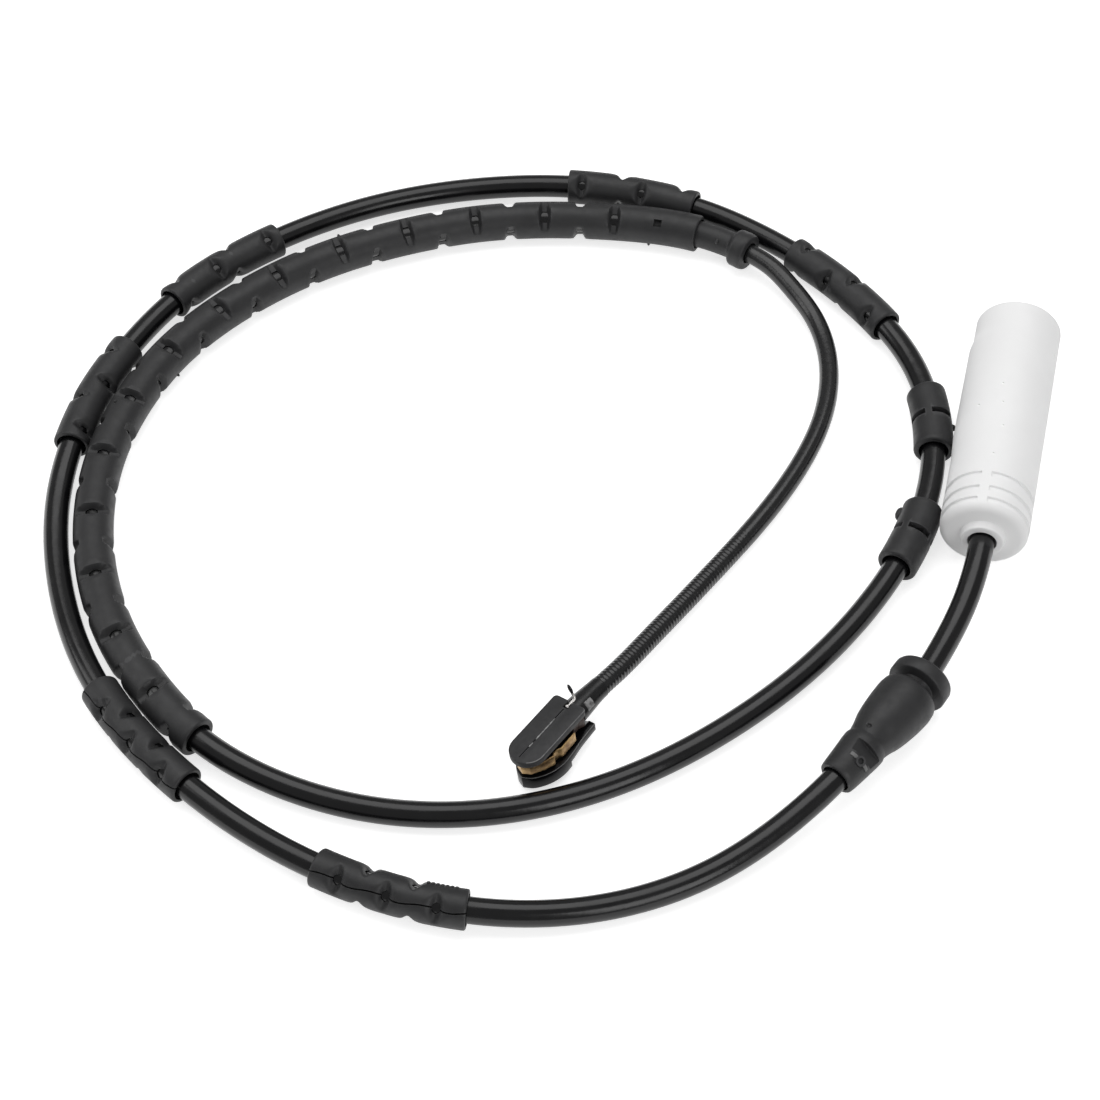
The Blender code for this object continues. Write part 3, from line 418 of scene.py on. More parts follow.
def dress(obj, mat, nodes=(), angle=38.0):
    """Gives a piece its material and slot, and lets it stand for its nodes."""
    obj.data.materials.clear()
    obj.data.materials.append(mat)
    if obj.type == 'MESH':
        obj.data.polygons.foreach_set("material_index", [0] * len(obj.data.polygons))
        obj.data.shade_smooth()
        obj.data.set_sharp_from_angle(angle=math.radians(angle))
    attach(obj, "root")
    if nodes:
        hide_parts(*nodes)
    return obj


def tint(obj, mat, chosen):
    """Gives the chosen faces of a dressed piece a further material."""
    obj.data.materials.append(mat)
    for index in chosen:
        obj.data.polygons[index].material_index = len(obj.data.materials) - 1


# ---- sleeves on the cable

# Half width, depth and half floor of a notch's wide and narrow valleys, and half sizes of its pit
CLIP_CUT = ((2.4 * MM, 0.85 * MM, 0.0), (1.25 * MM, 0.5 * MM, 0.0), (1.35 * MM, 0.9 * MM))
LONG_CUT = ((2.0 * MM, 0.4 * MM, 0.8 * MM), (1.45 * MM, 1.32 * MM, 0.48 * MM),
            (1.5 * MM, 1.0 * MM))
# How near to the axis the pits reach, inside the bore's wall
PIT_FLOOR = 2.0 * MM
# A notch cuts the skin only where the skin faces it by more than this
LEAST_SLANT = 0.05
# Pitch of the close clips' notches; first notch and pitch of the wide clips' ones
CLOSE_PITCH = 9.2 * MM
WIDE_LEAD_IN, WIDE_PITCH = 3.1 * MM, 13.6 * MM
# Width and swing of the close clips' slit, and the radii it is cut between
SLIT_WIDTH, SLIT_SWAY = 0.3 * MM, 0.3 * MM
SLIT_FROM, SLIT_TO = 1.5 * MM, 6.0 * MM
# Half height, half width and floor of the short sleeves' slots
SHORT_SLOT = (0.68 * MM, 2.35 * MM, 2.2 * MM)


def even(start, end, step):
    count = max(int(round((end - start) / step)), 1)
    return [start + (end - start) * k / count for k in range(count + 1)]


def scoop(z, at, broad, narrow):
    """How deep a notch is at each height: a wide valley with a narrower one in its middle."""
    total = np.zeros(len(z))
    for half, depth, floor in (broad, narrow):
        off = np.clip((np.abs(z - at) - floor) / (half - floor), 0.0, 1.0)
        total += depth * (0.5 + 0.5 * np.cos(math.pi * off))
    return total


def soft_least(a, b, blend):
    """The lesser of two fields, rounded where they meet."""
    share = np.clip(0.5 + 0.5 * (b - a) / blend, 0.0, 1.0)
    return b * (1.0 - share) + a * share - blend * share * (1.0 - share)


def scooped(name, length, radius, rows, cut, step, sides=72, edge=0.4 * MM, blend=0.3 * MM):
    """A solid bar about Z whose skin dips into a cross-cut saddle at every notch, with a
    pit in its middle that breaks into the bore."""
    arc = [math.pi / 2.0 * k / 4.0 for k in range(5)]
    heights = np.array([edge * (1.0 - math.cos(a)) for a in arc]
                       + even(edge, length - edge, step)[1:-1]
                       + [length - edge * (1.0 - math.cos(a)) for a in reversed(arc)])
    pulled = np.zeros(len(heights))
    pulled[:len(arc)] = [edge * (1.0 - math.sin(a)) for a in arc]
    pulled[-len(arc):] = [edge * (1.0 - math.sin(a)) for a in reversed(arc)]
    broad, narrow, pit = cut
    angles = np.linspace(0.0, 2.0 * math.pi, sides, endpoint=False)
    skin = np.full((len(heights), sides), radius)
    for angle, places in rows.items():
        slant = np.cos(angles - math.radians(angle))
        for at in places:
            near = np.abs(heights - at) < broad[0]
            level = radius - scoop(heights[near], at, broad, narrow)
            flat = level[:, None] / np.maximum(slant, LEAST_SLANT)[None]
            saddle = soft_least(skin[near], flat, blend)
            dipped = np.where(slant[None] > LEAST_SLANT, saddle, skin[near])
            across = radius * np.sin(angles - math.radians(angle)) / pit[0]
            along = (heights[near] - at) / pit[1]
            reach = np.exp(-across[None] ** 4 - along[:, None] ** 4) * (slant[None] > 0.0)
            skin[near] = np.minimum(dipped, radius - reach * (radius - PIT_FLOOR))
    skin -= pulled[:, None]
    coords = np.stack([skin * np.cos(angles), skin * np.sin(angles),
                       np.repeat(heights[:, None], sides, 1)], 2).reshape(-1, 3)
    return from_arrays(name, coords, tube_faces(len(heights), sides))


def bore_tool(length, first, second, first_depth=END_DEPTH, second_depth=END_DEPTH):
    """The hole through a sleeve, wider over a short depth at either end."""
    low, high = first_depth, length - second_depth
    inner = [(BORE, z) for z in reversed(even(low, high, 1.6 * MM))]
    upper = [(second, z) for z in reversed(even(high, length, 2.0 * MM))]
    lower = [(first, z) for z in reversed(even(0.0, low, 1.0 * MM))]
    above, below = [(0.0, length + MM), (second, length + MM)], [(first, -MM), (0.0, -MM)]
    return lathe("bore", above + upper + inner + lower + below, 48)


def wavy_slit(length, pitch, sway, width):
    """A thin blade along a sleeve that swings from side to side between its notches."""
    coords = []
    for z in even(-MM, length + MM, 0.5 * MM):
        middle = sway * math.sin(2.0 * math.pi * (z - length / 2.0) / pitch)
        low, high = middle - width / 2.0, middle + width / 2.0
        corners = (SLIT_FROM, low), (SLIT_TO, low), (SLIT_TO, high), (SLIT_FROM, high)
        coords += [(x, y, z) for x, y in corners]
    return from_arrays("slit", coords, tube_faces(len(coords) // 4, 4))


def studded(name, piece, radius, studs):
    """Joins small moulding marks to a sleeve: height, angle, size and squash of each."""
    parts = [piece]
    for at, angle, size, squash in studs:
        knob = ball("stud", size, (0.0, 0.0, 0.0), squash)
        out = Matrix.Translation((radius, 0.0, at))
        knob.data.transform(Matrix.Rotation(math.radians(angle), 4, 'Z') @ out)
        parts.append(knob)
    return join(name, parts)


def clip(name, centre, roll, close, studs=(), shift=0.0, side_shift=0.0):
    """A clip sleeve, close or wide by the pitch of its notches, whose rows may sit off their
    even places."""
    middle = CLIP_LENGTH / 2.0
    if close:
        front = [middle - CLOSE_PITCH, middle, middle + CLOSE_PITCH]
        side = [middle - CLOSE_PITCH / 2.0, middle + CLOSE_PITCH / 2.0]
    else:
        front = [WIDE_LEAD_IN, WIDE_LEAD_IN + WIDE_PITCH]
        side = [CLIP_LENGTH - at for at in front]
    front = [at + shift for at in front]
    side = [at + side_shift for at in side]
    rows = {0: front, 180: front, 90: side, 270: side}
    sleeve = scooped(name, CLIP_LENGTH, CLIP_RADIUS, rows, CLIP_CUT, 0.28 * MM)
    combine(sleeve, bore_tool(CLIP_LENGTH, END_BORE, END_BORE))
    if close:
        combine(sleeve, wavy_slit(CLIP_LENGTH, CLOSE_PITCH, SLIT_SWAY, SLIT_WIDTH))
    return lay_on_route(studded(name, sleeve, CLIP_RADIUS, studs), centre - middle, roll)


def short(name, centre, roll, stud):
    """A plain sleeve with four slots round its middle and one moulding stud."""
    sleeve = scooped(name, SHORT_LENGTH, SHORT_RADIUS, {}, CLIP_CUT, 0.8 * MM, edge=0.55 * MM)
    combine(sleeve, bore_tool(SHORT_LENGTH, END_BORE, END_BORE, 4.0 * MM, 4.0 * MM))
    middle = SHORT_LENGTH / 2.0
    tall, across, floor = SHORT_SLOT
    for quarter in range(4):
        slot = box("slot", (floor, -across, middle - tall),
                   (SHORT_RADIUS + MM, across, middle + tall))
        slot.data.transform(Matrix.Rotation(quarter * math.pi / 2.0, 4, 'Z'))
        combine(sleeve, slot)
    soften(sleeve, 0.12 * MM, 2, 50.0)
    return lay_on_route(studded(name, sleeve, SHORT_RADIUS, [stud]), centre - middle, roll)


# A row of seven small teeth on the first sleeve, between its end and its first side notch
teeth = [(2.4 * MM + 0.9 * MM * k, 91.0, 0.36 * MM, (0.55, 1.8, 1.1)) for k in range(7)]
clips = [clip("clip_sleeve_1_skin", 166.6 * MM, 44.0, True, teeth),
         clip("clip_sleeve_2_skin", 226.2 * MM, 55.0, True, shift=-0.6 * MM, side_shift=-0.6 * MM),
         clip("clip_sleeve_3_skin", 319.9 * MM, -50.0, False, side_shift=-0.85 * MM),
         clip("clip_sleeve_4_skin", 364.8 * MM, 60.0, False),
         clip("clip_sleeve_5_skin", 461.8 * MM, -39.0, False, side_shift=-0.4 * MM),
         clip("clip_sleeve_6_skin", 516.5 * MM, 26.0, False, side_shift=-0.8 * MM)]
for index, piece in enumerate(clips, 1):
    dress(piece, sleeve_mat, ["clip_sleeve_%d" % index])
round_stud = (9.6 * MM, -151.0, 0.72 * MM, (1.0, 1.0, 1.0))
long_stud = (2.8 * MM, 20.0, 0.95 * MM, (1.0, 1.2, 1.75))
shorts = [short("short_sleeve_1_skin", 560.0 * MM, -61.0, round_stud),
          short("short_sleeve_2_skin", 592.2 * MM, -70.0, long_stud)]
for index, piece in enumerate(shorts, 1):
    dress(piece, sleeve_mat, ["short_sleeve_%d" % index])

# The long sleeve's notches lie up to this much nearer to its start, over this stretch of it
START_SHIFT, SHIFT_REACH = 1.6 * MM, 80.0 * MM
NOTCH_PITCH, NOTCH_COUNT, LONG_LEAD_IN = 15.56 * MM, 14, 6.4 * MM


def long_rows(first):
    """Notch heights along the long sleeve, a little further apart near its start."""
    even_rows = [first + NOTCH_PITCH * k for k in range(NOTCH_COUNT)]
    return [at - START_SHIFT * max(1.0 - at / SHIFT_REACH, 0.0) for at in even_rows]


side_rows = long_rows(LONG_LEAD_IN)
top_rows = long_rows(LONG_LEAD_IN + NOTCH_PITCH / 2.0)
long_notches = {0: top_rows, 180: top_rows, 90: side_rows, 270: side_rows}
long_piece = scooped("long_sleeve_skin", LONG_LENGTH, LONG_RADIUS, long_notches, LONG_CUT, 0.3 * MM)
combine(long_piece, bore_tool(LONG_LENGTH, END_BORE, 3.3 * MM, END_DEPTH, PLUG_DEPTH))
combine(long_piece, box("latch_window", (2.25 * MM, -0.8 * MM, LONG_LENGTH - 9.9 * MM),
                        (LONG_RADIUS + MM, 0.8 * MM, LONG_LENGTH - 8.1 * MM)))
nubs = [(at * MM, angle, 0.4 * MM, (1.1, 0.8, 0.8))
        for at, angle in ((89.2, -28.0), (105.6, 108.0), (155.6, -72.0), (224.4, 104.0))]
long_piece = studded("long_sleeve_skin", long_piece, LONG_RADIUS, nubs)
lay_on_route(long_piece, LONG_START, 16.0, -39.0)
dress(long_piece, sleeve_mat, ["long_sleeve"])


# ---- grommet

def smooth_profile(points, step):
    """Points joined by a smooth curve, for the outside of a soft moulding."""
    knots = np.array(points)
    chord = np.concatenate(([0.0], np.cumsum(np.linalg.norm(np.diff(knots, axis=0), axis=1))))
    slopes = np.gradient(knots, chord, axis=0)
    out = []
    for i in range(len(knots) - 1):
        width = chord[i + 1] - chord[i]
        count = max(int(round(width / step)), 1)
        for k in range(count):
            t = k / count
            h00, h10 = 2 * t ** 3 - 3 * t ** 2 + 1, t ** 3 - 2 * t ** 2 + t
            h01, h11 = -2 * t ** 3 + 3 * t ** 2, t ** 3 - t ** 2
            out.append(tuple(h00 * knots[i] + h10 * width * slopes[i]
                             + h01 * knots[i + 1] + h11 * width * slopes[i + 1]))
    return out + [tuple(knots[-1])]


GROMMET_END = 29.2
# Inner radius, start and end of the deep and the shallow step of the window in the collar
WINDOW_STEPS = ((3.1, 21.7, 24.3), (3.72, 24.3, 26.2))
# Radii, height and place of the small eye in the window
EYE_INNER, EYE_OUTER, EYE_HEIGHT, EYE_AT = 0.6, 1.0, 1.0, (3.1, 0.0, 25.1)
# Radii, start and end of the bands across the window, painted pale as a highlight of its lit floor,
# and their reach to either side
BAND = (3.3, 4.12, 24.75, 25.45)
BAND_SIDES = ((-2.3, -1.0), (1.0, 2.3))

flange = [(5.5, 0.0), (5.82, 0.12), (5.97, 0.45), (6.0, 2.6), (5.85, 2.95), (5.5, 3.1)]
groove = [(3.7, 3.12), (3.6, 3.3), (3.6, 4.75), (3.7, 4.9)]
bell = smooth_profile([(4.95, 4.95), (5.5, 5.25), (5.8, 6.4), (5.82, 9.3), (5.58, 12.0),
                       (5.2, 14.7), (4.97, 15.8), (4.57, 17.1), (4.2, 18.8), (4.1, 19.5)], 0.5)
collar = smooth_profile([(4.12, 19.7), (4.32, 20.3), (4.33, 21.3), (4.15, 23.5), (3.9, 26.5),
                         (3.72, 28.3), (3.6, 29.0), (3.4, GROMMET_END)], 0.5)
rise = [(r * MM, z * MM) for r, z in reversed(flange + groove + bell + collar)]
hole = [(GROMMET_BORE, z) for z in even(0.0, GROMMET_END * MM, 1.6 * MM)]
grommet = lathe("body_grommet_skin", rise + hole, 72)
eyes, bands = [], []
for half in range(2):
    turned = Matrix.Rotation(half * math.pi, 4, 'Z')
    for inner, low, high in WINDOW_STEPS:
        window = box("window", (inner * MM, -9.0 * MM, low * MM),
                     (9.0 * MM, 9.0 * MM, high * MM))
        window.data.transform(turned)
        combine(grommet, window)
    eye = ring("eye", EYE_INNER * MM, EYE_OUTER * MM, 0.0, EYE_HEIGHT * MM, 24)
    outwards = Matrix.Translation(Vector(EYE_AT) * MM) @ Matrix.Rotation(math.pi / 2.0, 4, 'Y')
    eye.data.transform(turned @ outwards)
    eyes.append(eye)
    for low, high in BAND_SIDES:
        band = ring("band", *(value * MM for value in BAND), 72)
        part = box("part", (0.0, low * MM, 24.0 * MM), (9.0 * MM, high * MM, 26.0 * MM))
        combine(band, part, 'INTERSECT')
        band.data.transform(turned)
        bands.append(band)
dimple = ball("dimple", 0.7 * MM, (3.25 * MM, 3.25 * MM, 18.4 * MM), (1.0, 1.0, 0.7))
combine(grommet, dimple)
soften(grommet, 0.15 * MM, 2, 42.0)
band_from = sum(len(piece.data.polygons) for piece in [grommet] + eyes)
grommet = join("body_grommet_skin", [grommet] + eyes + bands)
lay_on_route(grommet, GROMMET_START - 1.1 * MM, GROMMET_ROLL)
dress(grommet, sleeve_mat, ["body_grommet"], 42.0)
tint(grommet, highlight_rim_mat, range(band_from, len(grommet.data.polygons)))


# ---- end relief

RELIEF_GAP = 0.3 * MM
RELIEF_BORE = 2.4 * MM
relief_from = LONG_START + LONG_LENGTH - PLUG_DEPTH + RELIEF_GAP
relief_length = PLUG_DEPTH - RELIEF_GAP + 12.5 * MM
neck = [(2.9, z) for z in even(0.0, 18.2, 1.3)]
rim = smooth_profile([(2.95, 18.6), (3.3, 19.0), (3.75, 19.2), (4.05, 19.7), (4.1, 20.6),
                      (4.05, 22.4), (3.85, 22.9), (3.5, 23.0)], 0.3)
rise = [(r * MM, z * MM) for r, z in reversed(neck + rim)]
hole = [(RELIEF_BORE, z) for z in even(0.0, relief_length, 1.3 * MM)]
relief = lathe("end_relief_skin", rise + hole, 48)
bumps = [ball("bump", 0.7 * MM, Vector((2.6 * math.cos(a), 2.6 * math.sin(a), 15.8)) * MM,
              (1.0, 1.0, 0.7)) for a in (0.9, 0.9 + math.pi)]
relief = join("end_relief_skin", [relief] + bumps)
lay_on_route(relief, relief_from, 0.0)
dress(relief, sleeve_mat, ["end_relief"], 42.0)


# ---- plug

def plug_matrix():
    return Matrix.Translation(route.point(BOSS_AT)) @ Matrix.Rotation(-math.pi / 2.0, 4, 'X')


def arc_points(centre_r, centre_z, radius, start, end, steps):
    return [(centre_r + radius * math.cos(a), centre_z + radius * math.sin(a))
            for a in (math.radians(start + (end - start) * k / steps) for k in range(steps + 1))]


def ramp(value, start, end):
    return min(max((value - start) / (end - start), 0.0), 1.0)


def swell(mesh):
    """The shell's left side swells to a small flat at 9.25 mm, and steps back at the mouth."""
    for vertex in mesh.vertices:
        if Vector(vertex.co.xy).length > 7.6 * MM and vertex.co.z > 20.0 * MM:
            nose = ramp(vertex.co.z / MM, 50.5, 53.0)
            swollen = ramp(vertex.co.z / MM, 20.0, 26.0) * (1.0 - nose)
            if vertex.co.x < 0.0:
                vertex.co.x *= 1.0 + 0.045 * swollen
            vertex.co.x = max(vertex.co.x, (0.45 * nose - 9.25) * MM)


# Heights in mm of the rear grooves, with half their width in mm, their floor and their taper,
# and half the width and the turn of the rib that breaks them
RING_AT, RING_HALF, RING_FLOOR, RING_TAPER = (3.6, 6.6, 10.3), 0.75, 8.33 * MM, 0.12 * MM
RIB_HALF, RIB_TURN = 0.95 * MM, math.radians(-10.0)
# Heights in mm of the faint moulding marks, and their degrees from the shell's top
PLUG_MARKS = ((35.2, -9.0), (30.0, -5.0), (23.6, 0.0), (29.5, -36.0), (15.8, -6.0), (50.1, 64.0))
MARK_RADIUS = 8.95

outside = (arc_points(8.45, 58.8, 0.4, 90.0, 0.0, 4)
           + [(8.85, z) for z in reversed(even(4.0, 58.4, 0.8))]
           + arc_points(6.85, 3.6, 2.0, 0.0, -90.0, 8)
           + [(4.9, 1.6), (4.5, 1.6)]
           + arc_points(3.9, 0.4, 0.35, 0.0, -90.0, 4))
inside = [(2.9, 0.0), (2.9, 4.5), (4.6, 4.5), (4.6, 11.6), (5.4, 11.6), (5.4, 31.0), (7.2, 31.0),
          (7.2, 45.0), (7.2, 58.8), (7.5, 59.2)]
housing = lathe("connector_housing_skin", [(r * MM, z * MM) for r, z in outside + inside], 96)
for at in RING_AT:
    low, high = (at - RING_HALF) * MM, (at + RING_HALF) * MM
    cutter = ring("ring", RING_FLOOR, 9.8 * MM, low, high, 96, RING_TAPER)
    rib = box("rib", (-RIB_HALF, -12.0 * MM, low - MM), (RIB_HALF, 0.0, high + MM))
    rib.data.transform(Matrix.Rotation(RIB_TURN, 4, 'Z'))
    combine(cutter, rib)
    combine(housing, cutter)
for at, aside in PLUG_MARKS:
    across = math.radians(aside)
    spot = Vector((MARK_RADIUS * math.sin(across), -MARK_RADIUS * math.cos(across), at)) * MM
    combine(housing, ball("mark", 0.3 * MM, spot))
soften(housing, 0.16 * MM, 3, 40.0)
swell(housing.data)
housing.data.transform(plug_matrix())
dress(housing, plug_mat, ["connector_housing"], 30.0)

for name, mat in (("contact_carrier", carrier_mat), ("cable_seal", seal_mat),
                  ("terminal_1", pin_mat), ("terminal_2", pin_mat),
                  ("core_wire_1", core_mat), ("core_wire_2", core_mat),
                  ("splice_1", tin_mat), ("splice_2", tin_mat)):
    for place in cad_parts[name].material_slots:
        place.material = mat


# ---- cable and lead

def curve_cord(name, points, diameter, resolution):
    data = bpy.data.curves.new(name, 'CURVE')
    data.dimensions = '3D'
    data.bevel_depth = diameter / 2.0
    data.bevel_resolution = resolution
    data.use_fill_caps = True
    spline = data.splines.new('POLY')
    spline.points.add(len(points) - 1)
    spline.points.foreach_set("co", np.hstack([points, np.ones((len(points), 1))]).ravel())
    obj = bpy.data.objects.new(name, data)
    bpy.context.scene.collection.objects.link(obj)
    return obj


LEAD_SIDES = 20
# Where the ribbed end of the lead starts, over what length the ribs rise, their depth and pitch
RIBS_FROM, RIBS_RISE, RIB_DEPTH, RIB_PITCH = 1094.0 * MM, 10.0 * MM, 0.09 * MM, 0.88 * MM

cable_points = route.points(np.linspace(0.0, CABLE_LENGTH, 560))
cable = curve_cord("main_cable_skin", cable_points, CABLE, 8)
dress(cable, cable_mat, ["main_cable"])
lead_from = relief_from + RELIEF_GAP
lead_to = route.length - RELIEF_GAP
stations = np.arange(lead_from, lead_to, 0.17 * MM)
angles = np.linspace(0.0, 2.0 * math.pi, LEAD_SIDES, endpoint=False)
ribbed = np.clip((stations - RIBS_FROM) / RIBS_RISE, 0.0, 1.0)
dip = 0.5 + 0.5 * np.cos(2.0 * math.pi * stations / RIB_PITCH)
radii = LEAD / 2.0 - RIB_DEPTH * ribbed * dip
rings = [np.stack([radius * np.cos(angles), radius * np.sin(angles),
                   np.full(LEAD_SIDES, at - lead_from)], 1) for at, radius in zip(stations, radii)]
lead = from_arrays("sensor_lead_skin", np.concatenate(rings), tube_faces(len(stations), LEAD_SIDES))
lay_on_route(lead, lead_from, 0.0)
dress(lead, lead_mat, ["sensor_lead"], 50.0)


# ---- sensor head

HEAD_ROLL = math.radians(8.0)
LEAD_HEIGHT = 4.85 * MM
FOOT, GROOVE, TOP = 3.0 * MM, 3.95 * MM, 1.5 * MM
HEAD_LENGTH = 16.9 * MM
PLATE_WIDTH = 7.2 * MM
# Start and end of the pale dashes in the plate's seam, a painted highlight along it
DASHES = ((4.9, 10.8), (11.8, 12.9))
SPRING_HALF, SPRING_HEIGHT, SPRING_GAUGE = 3.9 * MM, 2.4 * MM, 0.35 * MM
# How far along the head the spring is coloured dark brown
DARK_BRASS_TO = 4.2 * MM
BOOT_LENGTH, BOOT_BORE, BOOT_RADIUS = 8.0 * MM, 2.07 * MM, 2.13 * MM
# How much wider and taller the boot grows towards the head
BOOT_GROWTH = (0.16, 0.24)
# Heights and angles between which the boot's skin is paler
PALE_ALONG, PALE_ROUND = (4.3 * MM, 6.4 * MM), (-1.35, -0.5)


def head_matrix():
    end = route.point(route.length)
    along = route.tangent(route.length)
    lean = Euler((HEAD_ROLL, 0.0, math.atan2(along.y, along.x)), 'XYZ').to_matrix().to_4x4()
    return Matrix.Translation(end) @ lean @ Matrix.Translation((0.0, 0.0, -LEAD_HEIGHT))


def bar_outline(length, width, steps, corner=0.8 * MM):
    """A bar with a round tip and small rounds at its rear corners."""
    radius = width / 2.0
    tip = [(length - radius + radius * math.cos(a), radius * math.sin(a))
           for a in (math.pi * (k / steps - 0.5) for k in range(steps + 1))]
    left = [(corner - corner * math.sin(a), radius - corner + corner * math.cos(a))
            for a in (math.pi / 2.0 * k / 4.0 for k in range(5))]
    return [(x, -y) for x, y in reversed(left)] + tip + left


top_at = FOOT + GROOVE + TOP
plate = prism("head_plate_skin", bar_outline(HEAD_LENGTH, PLATE_WIDTH, 28), FOOT + GROOVE, top_at)
combine(plate, box("seam", (2.1 * MM, -0.14 * MM, top_at - 0.3 * MM),
                   (15.9 * MM, 0.14 * MM, top_at + MM)))
combine(plate, box("notch", (-MM, -0.55 * MM, top_at - 1.1 * MM),
                   (1.8 * MM, 0.55 * MM, top_at + MM)))
plate.data.materials.append(plate_mat)
plate.data.materials.append(highlight_rim_mat)
soften(plate, 0.22 * MM, 2, 40.0, 1)
# Bevel faces along the plate's top edge on its +Y side take a painted highlight
highlight_faces = [face.index for face in plate.data.polygons
         if face.material_index == 1 and face.center.y > 2.0 * MM
         and face.center.z > top_at - 0.5 * MM]
dash_from = len(plate.data.polygons)
dashes = [box("dash", (start * MM, -0.1 * MM, top_at - 0.2 * MM),
              (end * MM, 0.1 * MM, top_at + 0.03 * MM)) for start, end in DASHES]
plate = join("head_plate_skin", [plate] + dashes)
plate.data.transform(head_matrix())
dress(plate, plate_mat, ["sensor_head"], 30.0)
tint(plate, highlight_and_patch_mat, range(dash_from, len(plate.data.polygons)))
tint(plate, highlight_rim_mat, highlight_faces)

side = smooth_profile([(-1.5, 3.9), (3.5, 4.22), (7.0, 4.7), (9.5, 4.8), (12.0, 4.22), (14.0, 3.12),
                       (15.5, 1.73), (16.3, 0.0)], 0.5)
side = [(x * MM, y * MM) for x, y in side]
foot = prism("foot", [(x, -y) for x, y in side] + list(reversed(side[:-1])), 0.0, FOOT)
combine(foot, box("ledge", (-20.0 * MM, -9.0 * MM, -MM), (7.2 * MM, 9.0 * MM, 1.2 * MM)))
trough = rod("trough", 1.0, -1.0, 0.0, 40)
widened = Matrix.Diagonal((2.9 * MM, 3.3 * MM, HEAD_LENGTH, 1.0))
laid = Matrix.Rotation(math.pi / 2.0, 4, 'Y') @ widened
trough.data.transform(Matrix.Translation((0.0, 0.0, LEAD_HEIGHT)) @ laid)
combine(foot, trough)
foot.data.materials.append(foot_mat)
foot.data.materials.append(highlight_rim_mat)
soften(foot, 0.2 * MM, 2, 35.0, 1)
# Bevel faces round the foot's top edge take a painted highlight
highlight_faces = [face.index for face in foot.data.polygons
         if face.material_index == 1 and face.center.z > FOOT - 0.3 * MM]
core = prism("core", bar_outline(15.0 * MM, 3.4 * MM, 16, 0.3 * MM), FOOT - 0.4 * MM,
             FOOT + GROOVE + 0.4 * MM)
base = join("head_foot_skin", [foot, core])
base.data.transform(head_matrix())
dress(base, foot_mat, (), 30.0)
tint(base, highlight_rim_mat, highlight_faces)

# One leg of the spring, as distances along the head and in from its widest place
leg = [(0.4, 0.9), (1.8, 1.5), (3.4, 1.4), (4.4, 0.15), (8.6, 0.0), (9.3, 0.5), (10.2, 0.55),
       (10.9, 0.1), (12.9, 0.9)]
leg = [(x * MM, SPRING_HALF - d * MM) for x, d in leg] + [(15.1 * MM, 1.5 * MM), (15.8 * MM, 0.0)]
path = [(x, -y) for x, y in leg] + [(x, y) for x, y in reversed(leg[:-1])]
low = FOOT + (GROOVE - SPRING_HEIGHT) / 2.0
shape = bmesh.new()
line = [shape.verts.new((x, y, low)) for x, y in path]
edges = [shape.edges.new(pair) for pair in zip(line, line[1:])]
raised = bmesh.ops.extrude_edge_only(shape, edges=edges)
lifted = [item for item in raised["geom"] if isinstance(item, bmesh.types.BMVert)]
bmesh.ops.translate(shape, verts=lifted, vec=(0.0, 0.0, SPRING_HEIGHT))
mesh = bpy.data.meshes.new("retaining_spring_skin")
shape.to_mesh(mesh)
shape.free()
spring = link("retaining_spring_skin", mesh)
gauge = spring.modifiers.new("Gauge", 'SOLIDIFY')
gauge.thickness = SPRING_GAUGE
gauge.offset = 0.0
gauge.use_even_offset = True
bake(spring)
soften(spring, 0.07 * MM, 2, 20.0)
dark_brass_faces = [face.index for face in spring.data.polygons if face.center.x < DARK_BRASS_TO]
spring.data.transform(head_matrix())
dress(spring, brass_mat, ["retaining_spring"], 25.0)
tint(spring, dark_brass_mat, dark_brass_faces)

# The sense wire's end: a bare strand out of the notch, a drop of tin and a dark upright blade
out = Vector((0.0, 0.0, top_at - 0.5 * MM))
steps = smooth_profile([(1.0, 0.0, 0.0), (-0.2, 0.05, 0.05), (-0.9, 0.15, 0.4), (-1.15, -0.2, 1.0),
                        (-1.1, -0.4, 1.5)], 0.15)
strand_points = np.array([out + Vector(step) * MM for step in steps])
strand = curve_cord("sense_wire_strand", strand_points, 0.55 * MM, 4)
graph = bpy.context.evaluated_depsgraph_get()
bare = link("strand", bpy.data.meshes.new_from_object(strand.evaluated_get(graph)))
drop(strand)
blade = ball("blade", 1.0 * MM, (0.0, 0.0, 0.0), (0.3, 0.5, 1.2))
blade.data.transform(Matrix.Translation(out + Vector((-1.15, -0.75, 2.35)) * MM)
                     @ Matrix.Rotation(0.35, 4, 'X'))
blob = ball("blob", 0.42 * MM, out + Vector((1.25, 0.1, 0.25)) * MM)
dark_from = len(bare.data.polygons) + len(blob.data.polygons)
wire = join("sense_wire_skin", [bare, blob, blade])
wire.data.transform(head_matrix())
dress(wire, tin_mat, ["sense_wire"])
tint(wire, wire_mat, range(dark_from, len(wire.data.polygons)))

heights = even(0.0, BOOT_LENGTH, 0.3 * MM)
boot = lathe("lead_boot_skin", [(BOOT_RADIUS, z) for z in reversed(heights)]
             + [(BOOT_BORE, z) for z in heights], 48)
for vertex in boot.data.vertices:
    share = vertex.co.z / BOOT_LENGTH
    ease = share * share * (3.0 - 2.0 * share)
    if Vector(vertex.co.xy).length > BOOT_BORE + 0.01 * MM:
        vertex.co.x *= 1.0 + BOOT_GROWTH[0] * ease
        vertex.co.y *= 1.0 + BOOT_GROWTH[1] * ease
pale_faces = [face.index for face in boot.data.polygons
          if PALE_ALONG[0] < face.center.z < PALE_ALONG[1]
          and PALE_ROUND[0] < math.atan2(face.center.y, face.center.x) < PALE_ROUND[1]]
lay_on_route(boot, lead_to - BOOT_LENGTH, 0.0, -8.0)
dress(boot, boot_mat, ["lead_boot"], 50.0)
tint(boot, highlight_and_patch_mat, pale_faces)


# ---- floor, lights and camera

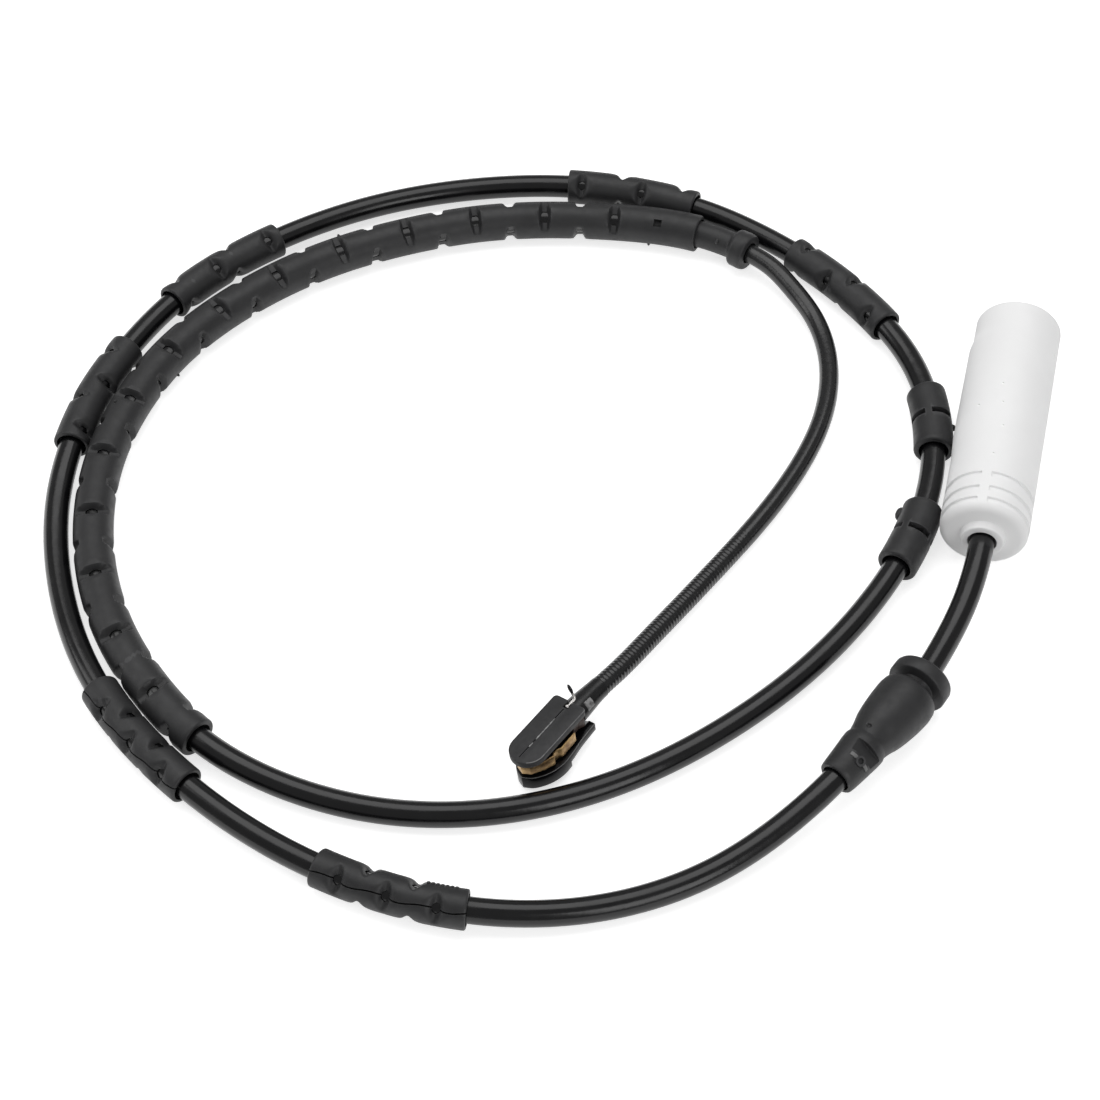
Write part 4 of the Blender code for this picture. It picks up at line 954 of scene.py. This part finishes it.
def backdrop():
    corners = [(-3.0, -3.0, 0.0), (3.0, -3.0, 0.0), (3.0, 3.0, 0.0), (-3.0, 3.0, 0.0)]
    floor = from_arrays("floor", corners, [(0, 1, 2, 3)])
    mat, nodes, links = new_material("floor_white")
    shader = nodes["Principled BSDF"]
    shader.inputs["Base Color"].default_value = (0.8, 0.8, 0.8, 1.0)
    shader.inputs["Roughness"].default_value = 0.9
    shader.inputs["Specular IOR Level"].default_value = 0.0
    glow = nodes.new("ShaderNodeEmission")
    glow.inputs["Strength"].default_value = 0.66
    rays = nodes.new("ShaderNodeLightPath")
    seen = nodes.new("ShaderNodeMath")
    seen.operation = 'MAXIMUM'
    links.new(rays.outputs["Is Camera Ray"], seen.inputs[0])
    links.new(rays.outputs["Is Glossy Ray"], seen.inputs[1])
    lit = nodes.new("ShaderNodeAddShader")
    links.new(shader.outputs[0], lit.inputs[0])
    links.new(glow.outputs[0], lit.inputs[1])
    mix = nodes.new("ShaderNodeMixShader")
    links.new(seen.outputs[0], mix.inputs["Fac"])
    links.new(shader.outputs[0], mix.inputs[1])
    links.new(lit.outputs[0], mix.inputs[2])
    links.new(mix.outputs[0], nodes["Material Output"].inputs["Surface"])
    floor.data.materials.append(mat)


def lamp(name, place, aim, size, power):
    data = bpy.data.lights.new(name, 'AREA')
    data.shape = 'RECTANGLE'
    data.size, data.size_y = size
    data.energy = power
    obj = bpy.data.objects.new(name, data)
    obj.location = place
    obj.rotation_euler = (Vector(aim) - Vector(place)).to_track_quat('-Z', 'Y').to_euler()
    bpy.context.scene.collection.objects.link(obj)
    return obj


def surroundings():
    world = bpy.data.worlds.new("surroundings")
    bpy.context.scene.world = world
    world.use_nodes = True
    nodes, links = world.node_tree.nodes, world.node_tree.links
    dim = nodes["Background"]
    dim.inputs["Color"].default_value = (1.0, 1.0, 1.0, 1.0)
    dim.inputs["Strength"].default_value = 0.34
    white = nodes.new("ShaderNodeBackground")
    white.inputs["Strength"].default_value = 1.0
    rays = nodes.new("ShaderNodeLightPath")
    mix = nodes.new("ShaderNodeMixShader")
    links.new(rays.outputs["Is Camera Ray"], mix.inputs["Fac"])
    links.new(dim.outputs[0], mix.inputs[1])
    links.new(white.outputs[0], mix.inputs[2])
    links.new(mix.outputs[0], nodes["World Output"].inputs["Surface"])


backdrop()
surroundings()
lamp("overhead", (-0.1, 0.3, 0.95), (0.0, 0.0, 0.0), (1.2, 0.8), 6.2)
lamp("front_right", (0.55, -0.55, 0.45), (0.0, 0.0, 0.0), (0.35, 0.5), 1.6)
lamp("left", (-0.75, -0.1, 0.5), (0.0, 0.0, 0.0), (0.3, 0.6), 1.3)

middle = Vector(ROUTE_MIDDLE) * MM
camera_data = bpy.data.cameras.new("camera")
camera_data.lens = 85.1
camera_data.sensor_width = 36.0
camera_data.clip_start = 0.01
camera = bpy.data.objects.new("camera", camera_data)
camera.location = Vector((83.83, -329.16, 402.50)) * MM - middle
target = Vector((7.5, -10.0, 3.0)) * MM - middle
camera.rotation_euler = (target - camera.location).to_track_quat('-Z', 'Y').to_euler()
bpy.context.scene.collection.objects.link(camera)
bpy.context.scene.camera = camera
bpy.context.scene.view_settings.view_transform = 'Standard'
